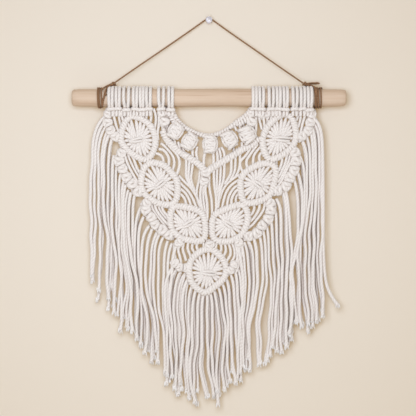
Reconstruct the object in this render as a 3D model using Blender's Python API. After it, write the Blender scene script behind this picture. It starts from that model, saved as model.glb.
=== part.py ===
"""Macrame wall hanging on a wooden rod, hung by jute twine from a push pin.

Blender 4.5, metres, +Z up. The origin is the middle of the pin's flat back, on the wall. The wall is the
plane Y = 0 and the hanging faces -Y. Tables of places are in millimetres, as (x, z) in the cloth's plane.
"""

import math

import bpy
import numpy as np

MM = 0.001

# Driving dimensions, in millimetres
CORD = 3.7  # cotton cord, across
GAP = 0.35  # clear space between separate pieces
ROD_LENGTH = 365.0
ROD_RADIUS = 11.8
ROD_Z = -105.1
CLOTH_Y = -17.0  # middle plane of the rod and of the cloth
TWINE = 2.0
RING_RADIUS = 4.3  # half width of a leaf's hitched ring
FRINGE_STRAND = 3.4
FRINGE_LAYER = 2.3  # front and back strands stand this far each side of the cloth's plane
STRIP_HALF = 1.3  # half height of the strip that the fringe is rooted in

COLOURS = {
    "cotton": ((0.80, 0.75, 0.68), 0.9),
    "birch": ((0.72, 0.55, 0.40), 0.6),
    "jute": ((0.22, 0.13, 0.07), 0.95),
    "clear_plastic": ((0.85, 0.88, 0.88), 0.1),
}


# Mesh building

def material(name):
    """The Principled material of this name, made once."""
    if name in bpy.data.materials:
        return bpy.data.materials[name]
    colour, roughness = COLOURS[name]
    made = bpy.data.materials.new(name)
    made.use_nodes = True
    shader = made.node_tree.nodes["Principled BSDF"]
    shader.inputs["Base Color"].default_value = (*colour, 1.0)
    shader.inputs["Roughness"].default_value = roughness
    shader.inputs["Metallic"].default_value = 0.0
    if name == "clear_plastic":
        shader.inputs["Transmission Weight"].default_value = 0.9
    return made


def outward(vertices, faces):
    """The shell with its faces turned so that its volume is positive."""
    volume = 0.0
    for face in faces:
        a = vertices[face[0]]
        for second, third in zip(face[1:-1], face[2:]):
            volume += np.dot(a, np.cross(vertices[second], vertices[third]))
    return (vertices, faces if volume > 0 else [face[::-1] for face in faces])


def add_object(name, shells, finish, smooth=False):
    """One mesh object from closed shells given in millimetres."""
    vertices, faces, start = [], [], 0
    for points, sides in shells:
        vertices.append(points)
        faces += [tuple(index + start for index in side) for side in sides]
        start += len(points)
    mesh = bpy.data.meshes.new(name)
    mesh.from_pydata((np.vstack(vertices) * MM).tolist(), [], faces)
    mesh.materials.append(material(finish))
    if smooth:
        mesh.shade_smooth()
        mesh.set_sharp_from_angle(angle=math.radians(40))
    made = bpy.data.objects.new(name, mesh)
    bpy.context.collection.objects.link(made)
    return made


def fuse(base, helper):
    """Unions a hidden helper, and all shells that overlap, into one solid."""
    helper.hide_render = True
    helper.display_type = "WIRE"
    union = base.modifiers.new("fuse", "BOOLEAN")
    union.operation = "UNION"
    union.solver = "EXACT"
    union.use_self = True
    union.object = helper


def thin(base, share):
    """Merges the smallest faces that the union leaves, down to this share of them."""
    fewer = base.modifiers.new("thin", "DECIMATE")
    fewer.ratio = share


def lift(points, y=CLOTH_Y):
    """(x, z) points as (x, y, z), with y one value or one for each point."""
    flat = np.asarray(points, float)
    return np.column_stack([flat[:, 0], np.broadcast_to(y, len(flat)), flat[:, 1]])


def smooth_path(points, count):
    """A Catmull-Rom curve through the points, read at count even steps of its length."""
    points = np.asarray(points, float)
    padded = np.vstack([2 * points[0] - points[1], points, 2 * points[-1] - points[-2]])
    t = np.linspace(0, 1, 12, endpoint=False)[:, None]
    runs = []
    for a, b, c, d in zip(padded, padded[1:], padded[2:], padded[3:]):
        curve = 2 * b + (c - a) * t + (2 * a - 5 * b + 4 * c - d) * t**2 + (3 * b - a - 3 * c + d) * t**3
        runs.append(curve / 2)
    return even_steps(np.vstack([*runs, points[-1:]]), count)


def even_steps(points, count):
    """The same line read at count points, evenly spaced along it."""
    lengths = np.linalg.norm(np.diff(points, axis=0), axis=1)
    along = np.concatenate([[0.0], np.cumsum(lengths)])
    wanted = np.linspace(0, along[-1], count)
    return np.column_stack([np.interp(wanted, along, column) for column in points.T])


def tube(points, radius, sides=4, up=(0, 1, 0), closed=False, deep=1.0, flat=False):
    """A tube along points, with a radius for each point; deep stretches it along up.

    A side faces up where flat is set, and a corner where it isn't.
    """
    points = np.asarray(points, float)
    count = len(points)
    if closed:
        along = np.roll(points, -1, axis=0) - np.roll(points, 1, axis=0)
    else:
        along = np.gradient(points, axis=0)
    along /= np.linalg.norm(along, axis=1)[:, None]
    across = np.cross(along, np.asarray(up, float))
    across /= np.linalg.norm(across, axis=1)[:, None]
    depth = np.cross(across, along) * deep
    angle = (np.arange(sides) + (0.5 if flat else 0.0)) / sides * 2 * math.pi
    spokes = np.cos(angle)[:, None, None] * across + np.sin(angle)[:, None, None] * depth
    rings = points[:, None, :] + spokes.transpose(1, 0, 2) * np.broadcast_to(radius, count)[:, None, None]
    faces = []
    for ring in range(count if closed else count - 1):
        for side in range(sides):
            beside, at, after = (side + 1) % sides, ring * sides, (ring + 1) % count * sides
            faces.append((at + side, at + beside, after + beside, after + side))
    if not closed:
        faces.append(tuple(reversed(range(sides))))
        faces.append(tuple(range((count - 1) * sides, count * sides)))
    return outward(rings.reshape(-1, 3), faces)


def ridges(count, radius, dip):
    """Radii that alternate between the full radius and a dip, as hitches or turns do."""
    return np.where(np.arange(count) % 2 == 0, radius - dip, radius)


def turned(profile, centre, axis, segments):
    """A profile of (place along the axis, radius) turned about an axis through centre, with solid ends."""
    rings = []
    angle = np.arange(segments) / segments * 2 * math.pi
    for place, radius in profile:
        ring = np.zeros((segments, 3))
        first, second = [column for column in range(3) if column != axis]
        ring[:, axis] = place
        ring[:, first] = radius * np.cos(angle)
        ring[:, second] = radius * np.sin(angle)
        rings.append(ring + centre)
    faces = []
    for ring in range(len(rings) - 1):
        for side in range(segments):
            beside = (side + 1) % segments
            low, high = ring * segments, (ring + 1) * segments
            faces.append((low + side, low + beside, high + beside, high + side))
    faces.append(tuple(reversed(range(segments))))
    faces.append(tuple(range((len(rings) - 1) * segments, len(rings) * segments)))
    return outward(np.vstack(rings), faces)


def sleeve(outer, inner_radius, centre, segments):
    """A ring round the X axis: an outer profile of (x, radius) rows over a plain bore."""
    inner = [(outer[-1][0], inner_radius), (outer[0][0], inner_radius)]
    profile = [*outer, *inner]
    angle = np.arange(segments) / segments * 2 * math.pi
    rings = []
    for x, radius in profile:
        ring = np.column_stack([np.full(segments, x), radius * np.cos(angle), radius * np.sin(angle)])
        rings.append(ring + centre)
    faces = []
    for ring in range(len(rings)):
        for side in range(segments):
            beside, at, after = (side + 1) % segments, ring * segments, (ring + 1) % len(rings) * segments
            faces.append((at + side, at + beside, after + beside, after + side))
    return outward(np.vstack(rings), faces)


def knot(x, z, width, height, turn=0.0, deep=1.0, sides=6):
    """A square knot or berry: a rounded barrel, its axis turned clockwise from upright by turn degrees."""
    stations = np.array([-0.5, -0.36, 0.0, 0.36, 0.5]) * height
    radii = np.array([0.50, 0.90, 1.0, 0.90, 0.50]) * width / 2
    lean = math.radians(turn)
    places = [(x + s * math.sin(lean), z + s * math.cos(lean)) for s in stations]
    return tube(lift(places), radii, sides, deep=deep)


# The rod: a birch stick, its ends rounded over

def build_rod():
    half = ROD_LENGTH / 2
    profile = [
        (-half, 9.3), (-half + 2.5, 10.9), (-half + 14, 11.5), (-60, ROD_RADIUS),
        (90, ROD_RADIUS - 0.1), (half - 14, 11.4), (half - 2, 10.6), (half, 9.0),
    ]
    add_object("rod", [turned(profile, (0, CLOTH_Y, ROD_Z), 0, 24)], "birch", smooth=True)


# The push pin: flange on the wall, waist that the twine lies over, and head

PIN_PROFILE = ((0.0, 4.0), (-1.3, 4.0), (-2.3, 1.6), (-9.0, 1.6), (-10.0, 4.0), (-12.4, 4.5), (-13.4, 3.4))


def build_pin():
    add_object("push_pin", [turned(PIN_PROFILE, (0, 0, 0), 1, 16)], "clear_plastic", smooth=True)


# The hanger twine: from the left knot over the pin's waist to the right knot

TWINE_ROUTE = (
    (-125.0, -16.8, -83.0), (-95.0, -14.1, -62.1), (-62.0, -11.2, -39.2), (-30.0, -8.3, -16.9),
    (-8.0, -6.3, -1.6), (-2.6, -5.8, 2.3), (0.0, -5.7, 3.2), (2.6, -5.8, 2.3), (8.0, -6.3, -1.7),
    (30.0, -8.3, -17.2), (62.0, -11.2, -39.7), (95.0, -14.1, -63.0), (123.2, -16.7, -82.9),
)
LEG_POINTS = 27  # on each side of the pin


def build_hanger_twine():
    """A smooth curve through the route, with one point at the top of its bend over the pin."""
    curve = bpy.data.curves.new("hanger_twine", "CURVE")
    curve.dimensions = "3D"
    curve.bevel_depth = TWINE / 2 * MM
    curve.bevel_resolution = 2
    curve.use_fill_caps = True
    fine = smooth_path(TWINE_ROUTE, 601)
    top = int(np.argmax(fine[:, 2]))
    rise, fall = even_steps(fine[: top + 1], LEG_POINTS), even_steps(fine[top:], LEG_POINTS)
    points = np.vstack([rise, fall[1:]]) * MM
    spline = curve.splines.new("POLY")
    spline.points.add(len(points) - 1)
    spline.points.foreach_set("co", np.column_stack([points, np.ones(len(points))]).ravel())
    curve.materials.append(material("jute"))
    bpy.context.collection.objects.link(bpy.data.objects.new("hanger_twine", curve))


# The twine wraps: turns round the rod, the lead up to the knot, and the right one's free tail

def wrap_turns(start, turns):
    """A ridged sleeve of twine turns from x = start, each one twine wide."""
    rows = [(start, ROD_RADIUS + GAP + 0.9)]
    for turn in range(turns):
        rows.append((start + (turn + 0.5) * TWINE, ROD_RADIUS + GAP + TWINE))
        rows.append((start + (turn + 1) * TWINE, ROD_RADIUS + GAP + 0.9))
    return sleeve(rows, ROD_RADIUS + GAP, (0, CLOTH_Y, ROD_Z), 16)


def build_twine_wraps():
    front = CLOTH_Y - ROD_RADIUS - GAP - 1.2
    rise = [(-140.2, front, -111), (-138.3, front, -102.5), (-138.8, front + 2.0, -96.5),
            (-138.0, CLOTH_Y - 5.5, -90.9), (-135.8, CLOTH_Y - 1.5, -86.6), (-131.0, CLOTH_Y, -85.4)]
    left = add_object("twine_wrap_left", [wrap_turns(-149.2, 5)], "jute")
    left_parts = [tube(rise, TWINE / 2, 5), knot(-128.2, -85.1, 5.0, 6.6, turn=56, sides=6)]
    fuse(left, add_object("twine_wrap_left_lead", left_parts, "jute"))
    lead = [(140.8, CLOTH_Y - 6.0, -92.8), (138.6, CLOTH_Y - 3.0, -88.0), (132.0, CLOTH_Y, -85.8)]
    right = add_object("twine_wrap_right", [wrap_turns(139.0, 6)], "jute")
    tail = lift([(129.0, -84.2), (136.0, -83.9), (142.0, -84.9), (147.7, -84.6)], CLOTH_Y + 1.4)
    knotted = knot(128.0, -85.2, 6.0, 9.5, turn=-65, sides=6)
    right_parts = [tube(lead, TWINE / 2, 5), knotted, tube(tail, TWINE / 2, 5)]
    fuse(right, add_object("twine_wrap_right_lead", right_parts, "jute"))


# Lark's heads: each is a pair of cords round the rod, with its bight across them under the rod.
# Columns: middle of the pair, half the space between its two cords.

LARKS_HEADS = (
    (-130.0, 2.2), (-121.0, 2.3), (-109.5, 3.2), (-97.7, 2.4), (-89.0, 2.2), (-80.2, 2.5),
    (-63.4, 3.2), (-51.0, 2.3), (60.8, 2.0), (69.8, 2.6), (82.6, 2.5), (92.5, 2.2), (101.5, 2.4),
    (114.0, 2.6), (124.5, 2.2), (134.0, 2.4),
)
BIGHT_Z = -121.6


def lark_cords():
    """Each cord is an eight-cornered ring round the rod, three-sided, its flat side a gap away from it."""
    thick = CORD / math.sqrt(3)
    radius = (ROD_RADIUS + GAP + thick / 2) / math.cos(math.pi / 8)
    angle = (np.arange(8) + 0.5) / 8 * 2 * math.pi
    shells = []
    for middle, half in LARKS_HEADS:
        for x in (middle - half, middle + half):
            ring = [(x, CLOTH_Y + radius * math.cos(a), ROD_Z + radius * math.sin(a)) for a in angle]
            shells.append(tube(ring, thick, 3, up=(1, 0, 0), closed=True))
    return shells


def bight_rows():
    """The bights of a side run together as one knobbly bar."""
    shells = []
    for row in (LARKS_HEADS[:8], LARKS_HEADS[8:]):
        ends = (row[0][0] - 5.0, row[-1][0] + 5.0)
        places = [(x, BIGHT_Z) for x in np.linspace(*ends, 9)]
        shells.append(tube(lift(places), ridges(9, 4.6, 0.5), 4, flat=True))
    return shells


# Leaves: hitched rings with a centre knot and rays.
# Columns: top tip, bottom tip, bulge of the left and of the right side from the middle between the tips,
# roundness, centre knot, tilt of that knot.

LEAVES = (
    ((-99.0, -129.5), (-84.5, -187.5), (-24.0, -0.5), (22.0, -2.5), 2.6, (-90.0, -160.5), 40),
    ((-83.0, -192.5), (-46.5, -245.0), (-24.0, -1.5), (24.0, 1.0), 3.0, (-65.3, -221.0), 50),
    ((-49.0, -250.0), (-4.5, -298.0), (-17.0, -13.0), (12.5, 14.0), 3.0, (-28.0, -274.5), 50),
    ((104.5, -128.0), (82.5, -187.0), (-23.5, -0.5), (23.0, 3.0), 2.6, (92.5, -159.0), -20),
    ((82.0, -192.5), (49.5, -244.5), (-22.5, 0.5), (22.5, 1.5), 3.0, (65.0, -220.5), -30),
    ((47.5, -250.0), (4.5, -298.0), (-12.5, 9.5), (16.0, -12.0), 3.0, (24.5, -273.5), -30),
    ((1.5, -307.0), (-7.5, -365.0), (-21.5, 2.0), (25.0, 4.5), 2.2, (-1.5, -337.0), 90),
)
RING_HITCHES = 18
RAYS = 10
CENTRE_KNOT = 14.0


def leaf_outline(leaf, count):
    """Both sides of a leaf as one closed line.

    A side runs from tip to tip and swells by bulge * (1 - |2t - 1| ** roundness).
    """
    top, bottom, left, right, roundness = (np.asarray(value, float) for value in leaf[:5])
    t = np.linspace(0, 1, 40)[:, None]
    swell = 1 - np.abs(2 * t - 1) ** roundness
    down = top + (bottom - top) * t + left * swell
    up = (top + (bottom - top) * t + right * swell)[::-1]
    return even_steps(np.vstack([down, up[1:]]), count + 1)[:-1]


def leaf_rings():
    count = RING_HITCHES * 2
    shells = []
    for index, leaf in enumerate(LEAVES):
        middle = CLOTH_Y + 0.25 * (index % 3 - 1)
        radii = ridges(count, RING_RADIUS, 0.8) * 1.12
        shells.append(tube(lift(leaf_outline(leaf, count), middle), radii, 4, closed=True, flat=True))
    return shells


def leaf_rays():
    """Cords from the ring to the centre knot, each wider where it leaves the knot's rim."""
    shells = []
    for leaf in LEAVES:
        centre = np.array(leaf[5])
        for index, place in enumerate(leaf_outline(leaf, RAYS)):
            reach = place - centre
            rim = centre + reach / np.linalg.norm(reach) * (CENTRE_KNOT / 2 - 1.5)
            shells.append(tube(lift([rim, place], stagger(index)), CORD / 2, 4))
    return shells


def centre_knots():
    return [knot(*leaf[5], CENTRE_KNOT, CENTRE_KNOT, turn=leaf[6], deep=0.5) for leaf in LEAVES]


# Bars: cords hitched or knotted over others. Columns: points, half width, ridges.

BARS = (
    (((-48, -119), (-39, -133), (-27, -145.5), (-10, -156), (11, -155), (24, -148.5), (37, -137.5),
      (57, -120)), 3.6, 15),
    (((-61.5, -146), (-58, -152), (-51, -165), (-39, -180), (-19, -190.5), (-9, -198),
      (-5.3, -208)), 4.1, 9),
    (((67, -165.5), (49.3, -173.5), (35.6, -179), (15.3, -191), (-2, -203)), 4.1, 8),
)

# Sinnets of square knots down the sides. Columns: points, knots.

SINNETS = (
    (((-134, -123), (-135, -134), (-132.5, -147), (-126, -157.5), (-118, -159)), 3),
    (((-110, -177), (-120.5, -181), (-118.5, -192), (-109, -211), (-98.5, -231), (-88, -233)), 7),
    (((-77, -243), (-86.5, -247), (-78.5, -265.5), (-66, -282), (-50, -287.5)), 6),
    (((134, -123), (135.5, -132), (133, -147), (126, -159), (118, -157)), 3),
    (((107, -176), (116.5, -180.5), (116, -192), (106, -216), (94.5, -229.5), (86, -231)), 6),
    (((75, -243), (82, -247.5), (76, -267), (63.5, -284.5), (47, -287)), 6),
    (((-47.5, -327), (-38.7, -331.5), (-27, -334)), 2),
)

# Single knots and berries. Columns: x, z, width, height, tilt.

KNOTS = (
    (-60.5, -127.5, 14.0, 12.0, 0), (-59.5, -140.5, 13.0, 13.0, 0), (67.0, -125.5, 11.0, 9.0, 0),
    (-5.3, -212.0, 9.0, 17.0, 0), (0.0, -301.5, 11.0, 9.0, 0), (-40.0, -299.5, 10.0, 11.0, 30),
    (38.8, -300.5, 10.0, 11.0, -30), (30.5, -337.5, 9.0, 13.0, 60),
)
BERRIES = (
    (-43.8, -147.5, 18.5, 19.0, 38), (-28.5, -163.0, 18.5, 19.0, 38), (1.0, -167.5, 20.0, 19.0, 0),
    (27.5, -161.0, 18.5, 19.0, -30), (48.0, -154.0, 19.0, 19.0, -35),
)


def bars_and_knots():
    shells = []
    for points, half, count in BARS:
        path = smooth_path(points, 2 * count + 1)
        shells.append(tube(lift(path), ridges(2 * count + 1, half, 0.8), 4))
    for points, count in SINNETS:
        path = smooth_path(points, 2 * count + 1)
        shells.append(tube(lift(path), ridges(2 * count + 1, 5.0, 1.8), 4))
    shells += [knot(*row) for row in KNOTS]
    shells += [knot(*row, deep=0.9, sides=8) for row in BERRIES]
    return shells


# Loose runs between the knots. Columns: the first and last starts, the first and last ends, cords,
# and how far the runs bow to the right of the way they go down (left if negative).

RUNS = (
    # under the lark's heads
    ((-129, -121), (-119, -121), (-114, -148), (-107, -137), 3, -3),
    ((-92, -121), (-80, -121), (-86, -136), (-74, -148), 3, 5),
    ((-72, -121), (-70, -121), (-69, -156), (-67, -170), 2, 3),
    ((77, -121), (88, -121), (72, -146), (83, -138), 3, -3),
    ((116, -121), (128, -121), (114, -139), (118, -150), 3, 1),
    # from one leaf to the next down the outer side
    ((-112, -179), (-96, -187), (-90, -223), (-88, -206), 4, -3),
    ((-78, -246), (-62, -248), (-54, -277), (-52, -262), 3, -3),
    ((94, -184), (109, -176), (89, -203), (91, -222), 3, 3),
    ((67, -245), (80, -240), (52, -260), (55, -274), 3, 4),
    # from one leaf to the next down the inner side
    ((-68, -158), (-72, -174), (-42, -201), (-55, -193), 4, 7),
    ((-38, -212), (-40, -238), (-10, -263), (-26, -250), 4, 4),
    ((68, -169), (76, -181), (47, -203), (62, -195), 4, -7),
    ((43, -210), (45, -237), (8, -262), (34, -251), 4, -8),
    # hanging from the V bars and their knot
    ((-36, -181), (-19, -190), (-34, -250), (-20, -254), 3, 0),
    ((6, -196), (34, -180), (10, -262), (30, -251), 4, 0),
    ((-8, -216), (-3, -216), (-12, -262), (9, -264), 3, 0),
    # from the neckline to the outer berries, and from the berries to the V bars
    ((-41, -132), (-36, -137), (-44, -146), (-40, -150), 2, 0),
    ((36, -138), (43, -132), (45, -152), (50, -150), 2, 0),
    ((-47, -152), (-41, -154), (-54, -160), (-46, -171), 2, 0),
    ((46, -158), (52, -156), (50, -173), (59, -169), 2, 0),
    ((-31, -168), (-24, -168), (-32, -185), (-24, -188), 2, 0),
    ((-4, -172), (7, -172), (-9, -199), (12, -193), 3, 0),
    ((25, -166), (32, -166), (27, -185), (36, -179), 2, 0),
    # round the joint between the lower leaves and the bottom one
    ((-36, -294), (-17, -298), (-25, -325), (-9, -312), 3, -3),
    ((17, -298), (36, -293), (11, -311), (23, -325), 3, 4),
    ((-42, -302), (-39, -302), (-42, -329), (-36, -331), 2, -4),
    ((37, -302), (40, -302), (29, -335), (33, -338), 2, 3),
)


def stagger(index):
    """A small step in depth, different for each neighbour, as crossing cords lie one before the other."""
    return CLOTH_Y + ((index * 0.37) % 1.0 - 0.5) * 1.6


def loose_runs():
    shells = []
    for first, last, first_end, last_end, cords, bow in RUNS:
        for share in np.linspace(0, 1, cords):
            start = np.array(first) * (1 - share) + np.array(last) * share
            end = np.array(first_end) * (1 - share) + np.array(last_end) * share
            down = (end - start) / np.linalg.norm(end - start)
            aside = np.array([-down[1], down[0]])
            points = 2 if bow == 0 else 3 if abs(bow) < 4 else 4
            t = np.linspace(0, 1, points)[:, None]
            path = start + (end - start) * t + aside * bow * 4 * t * (1 - t)
            shells.append(tube(lift(path, stagger(len(shells))), CORD / 2 * 1.05, 4))
    return shells


def build_macrame():
    solid_parts = leaf_rings() + bars_and_knots() + bight_rows() + centre_knots()
    cloth = add_object("macrame", solid_parts, "cotton")
    fuse(cloth, add_object("macrame_cords", lark_cords() + leaf_rays() + loose_runs(), "cotton"))
    thin(cloth, 0.75)


# Fringe: strands rooted in a narrow strip that runs outside the sinnets.
# Columns: name, points of the strip, strands, x of the first and the last strand where they hang.

FRINGES = (
    ("fringe_left", ((-142, -126), (-141.5, -141), (-135, -157), (-129.5, -169), (-128.5, -182),
                     (-126, -194), (-116.5, -214.5), (-106, -235), (-95.5, -248), (-86, -269),
                     (-73, -287), (-60, -296), (-47, -306.5)), 36, -156.5, -55.0),
    ("fringe_right", ((142, -126), (142, -142), (137, -156.5), (129.5, -168), (124.5, -179), (123.5, -194),
                      (114, -218.5), (101, -235.5), (90.5, -247.5), (84, -269.5), (70, -290.5), (57, -297),
                      (45.5, -308)), 39, 155.5, 44.0),
    ("fringe_bottom", ((-50, -335), (-40, -340.5), (-31.5, -344), (-23, -356.5), (-13.5, -370.5),
                       (-7, -374.5), (0, -371.5), (8.5, -364), (19, -353.5), (28, -348), (39, -347)),
     31, -50.5, 38.5),
)

# The hem: where the strands end. Columns: x, z.

HEM = ((-158, -335), (-140, -375), (-104, -425), (-65, -466), (-32, -503), (-5, -511), (12, -506),
       (24, -491), (61, -462), (81, -455), (121, -412), (157, -380))
WAVE = 0.6
FRONT_DROPS = (0.10, 0.36, 0.68, 1.0)  # shares of a strand's length at which it has a ring of corners
BACK_DROPS = (0.12, 0.52, 1.0)
SPREAD_DROP = 26.0  # a strand has come across to its hanging place after about this drop


def build_fringe(name, strip, strands, first_x, last_x, seed):
    """The strip has five corners to a section: its underside is a front and a back half.

    Each strand is drawn out of one half of one stretch of that underside, front and back by turns.
    """
    rng = np.random.default_rng(seed)
    path = lift(smooth_path(strip, strands + 1))
    along = np.gradient(path, axis=0)
    along /= np.linalg.norm(along, axis=1)[:, None]
    out = np.cross(along, (0.0, 1.0, 0.0))
    below = out if out[:, 2].sum() < 0 else -out
    toward = math.copysign(1.0, last_x - first_x)
    depth = np.array([0.0, FRINGE_LAYER + FRINGE_STRAND / 2, 0.0])
    section = [(-1, -1), (-1, 1), (1, 1), (1, 0), (1, -1)]  # out of the cloth's edge, and towards the wall
    rings = np.stack([path + below * STRIP_HALF * o + depth * w for o, w in section], axis=1)
    points = list(rings.reshape(-1, 3))
    faces = [(0, 1, 2, 3, 4), tuple(reversed(range(strands * 5, strands * 5 + 5)))]
    hem_x, hem_z = np.array(HEM, float).T
    hang = np.linspace(first_x, last_x, strands)
    for cell in range(strands):
        at, after = cell * 5, cell * 5 + 5
        faces += [(at + side, after + side, after + side + 1, at + side + 1) for side in range(2)]
        faces.append((at + 4, after + 4, after, at))
        front = cell % 2 == 0
        lone, root = ((2, 3), (3, 4)) if front else ((3, 4), (2, 3))
        faces.append((at + lone[0], after + lone[0], after + lone[1], at + lone[1]))
        corners = [at + root[0], after + root[0], after + root[1], at + root[1]]
        middle = np.mean([points[corner] for corner in corners], axis=0)
        x = hang[cell]
        length = middle[2] - np.interp(x, hem_x, hem_z) - rng.uniform(0, 9)
        drops = length * np.array(FRONT_DROPS if front else BACK_DROPS)
        sway = rng.uniform(-WAVE, WAVE, len(drops))
        y = CLOTH_Y + (-FRINGE_LAYER if front else FRINGE_LAYER)
        half = FRINGE_STRAND / 2
        previous = corners
        order = np.array([points[corner] for corner in corners]) - middle
        for drop, aside in zip(drops, sway):
            share = 1 - math.exp(-2.2 * drop / SPREAD_DROP)
            place = np.array([middle[0] + (x - middle[0]) * share + aside, y, middle[2] - drop])
            start = len(points)
            for offset in order:
                ahead = math.copysign(half, offset @ along[cell]) * toward
                points.append(place + np.array([ahead, math.copysign(half, offset[1]), 0.0]))
            ring = list(range(start, start + 4))
            for corner in range(4):
                beside = (corner + 1) % 4
                faces.append((previous[corner], previous[beside], ring[beside], ring[corner]))
            previous = ring
        faces.append(tuple(previous))
    return add_object(name, [outward(np.array(points), faces)], "cotton")


def main():
    for old in list(bpy.data.objects):
        bpy.data.objects.remove(old)
    build_rod()
    build_pin()
    build_hanger_twine()
    build_twine_wraps()
    build_macrame()
    for seed, (name, strip, strands, first_x, last_x) in enumerate(FRINGES, start=11):
        build_fringe(name, strip, strands, first_x, last_x, seed)


main()
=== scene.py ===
"""Looks of a macrame wall hanging: cotton cord on a birch rod, hung by jute twine from a clear push pin.

Tables and shapes are in millimetres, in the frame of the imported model: the origin is the middle of the pin's
flat back on the wall, +Z is up and the hanging faces -Y. Meshes are written in metres.
"""

import math

import bmesh
import bpy
import numpy as np
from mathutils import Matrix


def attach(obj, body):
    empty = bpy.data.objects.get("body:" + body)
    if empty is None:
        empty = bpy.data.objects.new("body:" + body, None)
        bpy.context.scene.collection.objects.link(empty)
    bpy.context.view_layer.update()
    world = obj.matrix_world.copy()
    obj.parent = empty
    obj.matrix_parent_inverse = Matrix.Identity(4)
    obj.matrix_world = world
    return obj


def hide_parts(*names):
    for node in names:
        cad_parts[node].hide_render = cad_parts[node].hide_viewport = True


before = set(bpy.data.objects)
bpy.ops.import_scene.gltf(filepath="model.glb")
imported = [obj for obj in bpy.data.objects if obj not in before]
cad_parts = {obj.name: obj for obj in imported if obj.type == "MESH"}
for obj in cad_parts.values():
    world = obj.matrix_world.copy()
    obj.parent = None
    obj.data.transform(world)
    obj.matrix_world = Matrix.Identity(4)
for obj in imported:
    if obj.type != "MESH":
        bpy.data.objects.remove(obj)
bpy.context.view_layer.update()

# The camera stands square to the wall, level with the middle of the hanging and 1.6 m from it, with a long
# lens, so that the rod and the fringe keep their true proportions.

MM = 0.001
CAMERA_PLACE = (-0.0013, -1.617, -0.252)
CAMERA_LENS = 103.8

camera = bpy.data.objects.new("camera", bpy.data.cameras.new("camera"))
camera.location = CAMERA_PLACE
camera.rotation_euler = (math.pi / 2, 0, 0)
camera.data.lens = CAMERA_LENS
camera.data.sensor_width = 36.0
bpy.context.collection.objects.link(camera)
bpy.context.scene.camera = camera

# The room: a painted plaster wall right behind the pin, opaque from its front and clear from behind, so that
# the back can be looked at, and a pale floor far below. Light comes from one large soft window in front, a
# little to the left, and from the warm room itself, which is brighter above than below. The wall's paint
# turns brown as painted shade where cords stand close before it, and it glows faintly warm, a painted glow,
# though it is no lamp.

WALL_COLOUR = (0.608, 0.600, 0.565, 1.0)
# painted shade: the colour the wall takes where cords stand close before it
WALL_PAINTED_SHADE = (0.47, 0.32, 0.17, 1.0)  # right behind the cords
# painted glow: warm light that the wall gives off everywhere, though it is no lamp, in place of light bounced
# between the wall and the cords
WALL_PAINTED_GLOW = (0.17, 0.095, 0.015, 1.0)  # the warm light that comes back from the wall between the cords
FLOOR_COLOUR = (0.78, 0.74, 0.68, 1.0)
# reach and threshold of the ambient occlusion probe that lays the painted shade on the wall
PAINTED_SHADE_REACH = 0.024  # metres over which the cords shelter the wall
PAINTED_SHADE_OPEN = 0.5  # how open to the room the wall has to be for its plain colour
WALL_BACK = 0.0006  # metres behind the pin's flat back
FLOOR_LEVEL = -0.9
ROOM_REACH = 2.2
ROOM_COLOUR = (1.0, 0.86, 0.68, 1.0)
ROOM_STRENGTH = (0.16, 0.52)  # from the floor and from the ceiling
WINDOW_PLACE = (-0.09, -1.0, -0.12)
WINDOW_AIM = (0.0, 0.0, -0.2)
WINDOW_SIZE = 0.55
WINDOW_WATTS = 8.15
WINDOW_COLOUR = (0.91, 1.0, 1.15)


def quad(name, corners, finish):
    """One flat rectangle through four corners, facing the side from which they run anticlockwise."""
    mesh = bpy.data.meshes.new(name)
    mesh.from_pydata(corners, [], [(0, 1, 2, 3)])
    mesh.materials.append(finish)
    made = bpy.data.objects.new(name, mesh)
    bpy.context.collection.objects.link(made)
    return made


def new_material(name):
    """An empty node material with a Principled shader, its node tree and that shader."""
    made = bpy.data.materials.new(name)
    made.use_nodes = True
    return made, made.node_tree, made.node_tree.nodes["Principled BSDF"]


def give(node, **values):
    """Sets a node's own sockets by name, with _ for each space."""
    for name, value in values.items():
        node.inputs[name.replace("_", " ")].default_value = value


def add_node(tree, kind, values=None, **settings):
    """A new node of this kind with the settings given, and then the values of its sockets."""
    node = tree.nodes.new(kind)
    for key, value in settings.items():
        setattr(node, key, value)
    give(node, **(values or {}))
    return node


def join(source, outlet, target, inlet):
    """Links one node's outlet to another's inlet, each by its name or number."""
    source.id_data.links.new(source.outputs[outlet], target.inputs[inlet])


# The wall's paint: an ambient occlusion probe turns it to its painted shade where cords stand close before it,
# it glows faintly warm as a painted glow, and from behind it is clear.
wall_paint, tree, shader = new_material("wall_paint")
shelter = add_node(tree, "ShaderNodeAmbientOcclusion", dict(Distance=PAINTED_SHADE_REACH), samples=8)
openness = add_node(tree, "ShaderNodeMapRange", dict(From_Min=0.0, From_Max=PAINTED_SHADE_OPEN))
join(shelter, "AO", openness, "Value")
paint = add_node(tree, "ShaderNodeMix", dict(A=WALL_PAINTED_SHADE, B=WALL_COLOUR), data_type="RGBA")
join(openness, "Result", paint, "Factor")
join(paint, "Result", shader, "Base Color")
give(shader, Emission_Color=WALL_PAINTED_GLOW, Emission_Strength=1.0, Roughness=0.9)
side = add_node(tree, "ShaderNodeNewGeometry")
clear = add_node(tree, "ShaderNodeBsdfTransparent")
either = add_node(tree, "ShaderNodeMixShader")
join(side, "Backfacing", either, "Fac")
join(shader, "BSDF", either, 1)
join(clear, "BSDF", either, 2)
join(either, "Shader", tree.nodes["Material Output"], "Surface")

floor_paint, tree, shader = new_material("floor_paint")
give(shader, Base_Color=FLOOR_COLOUR, Roughness=0.8)

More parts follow.
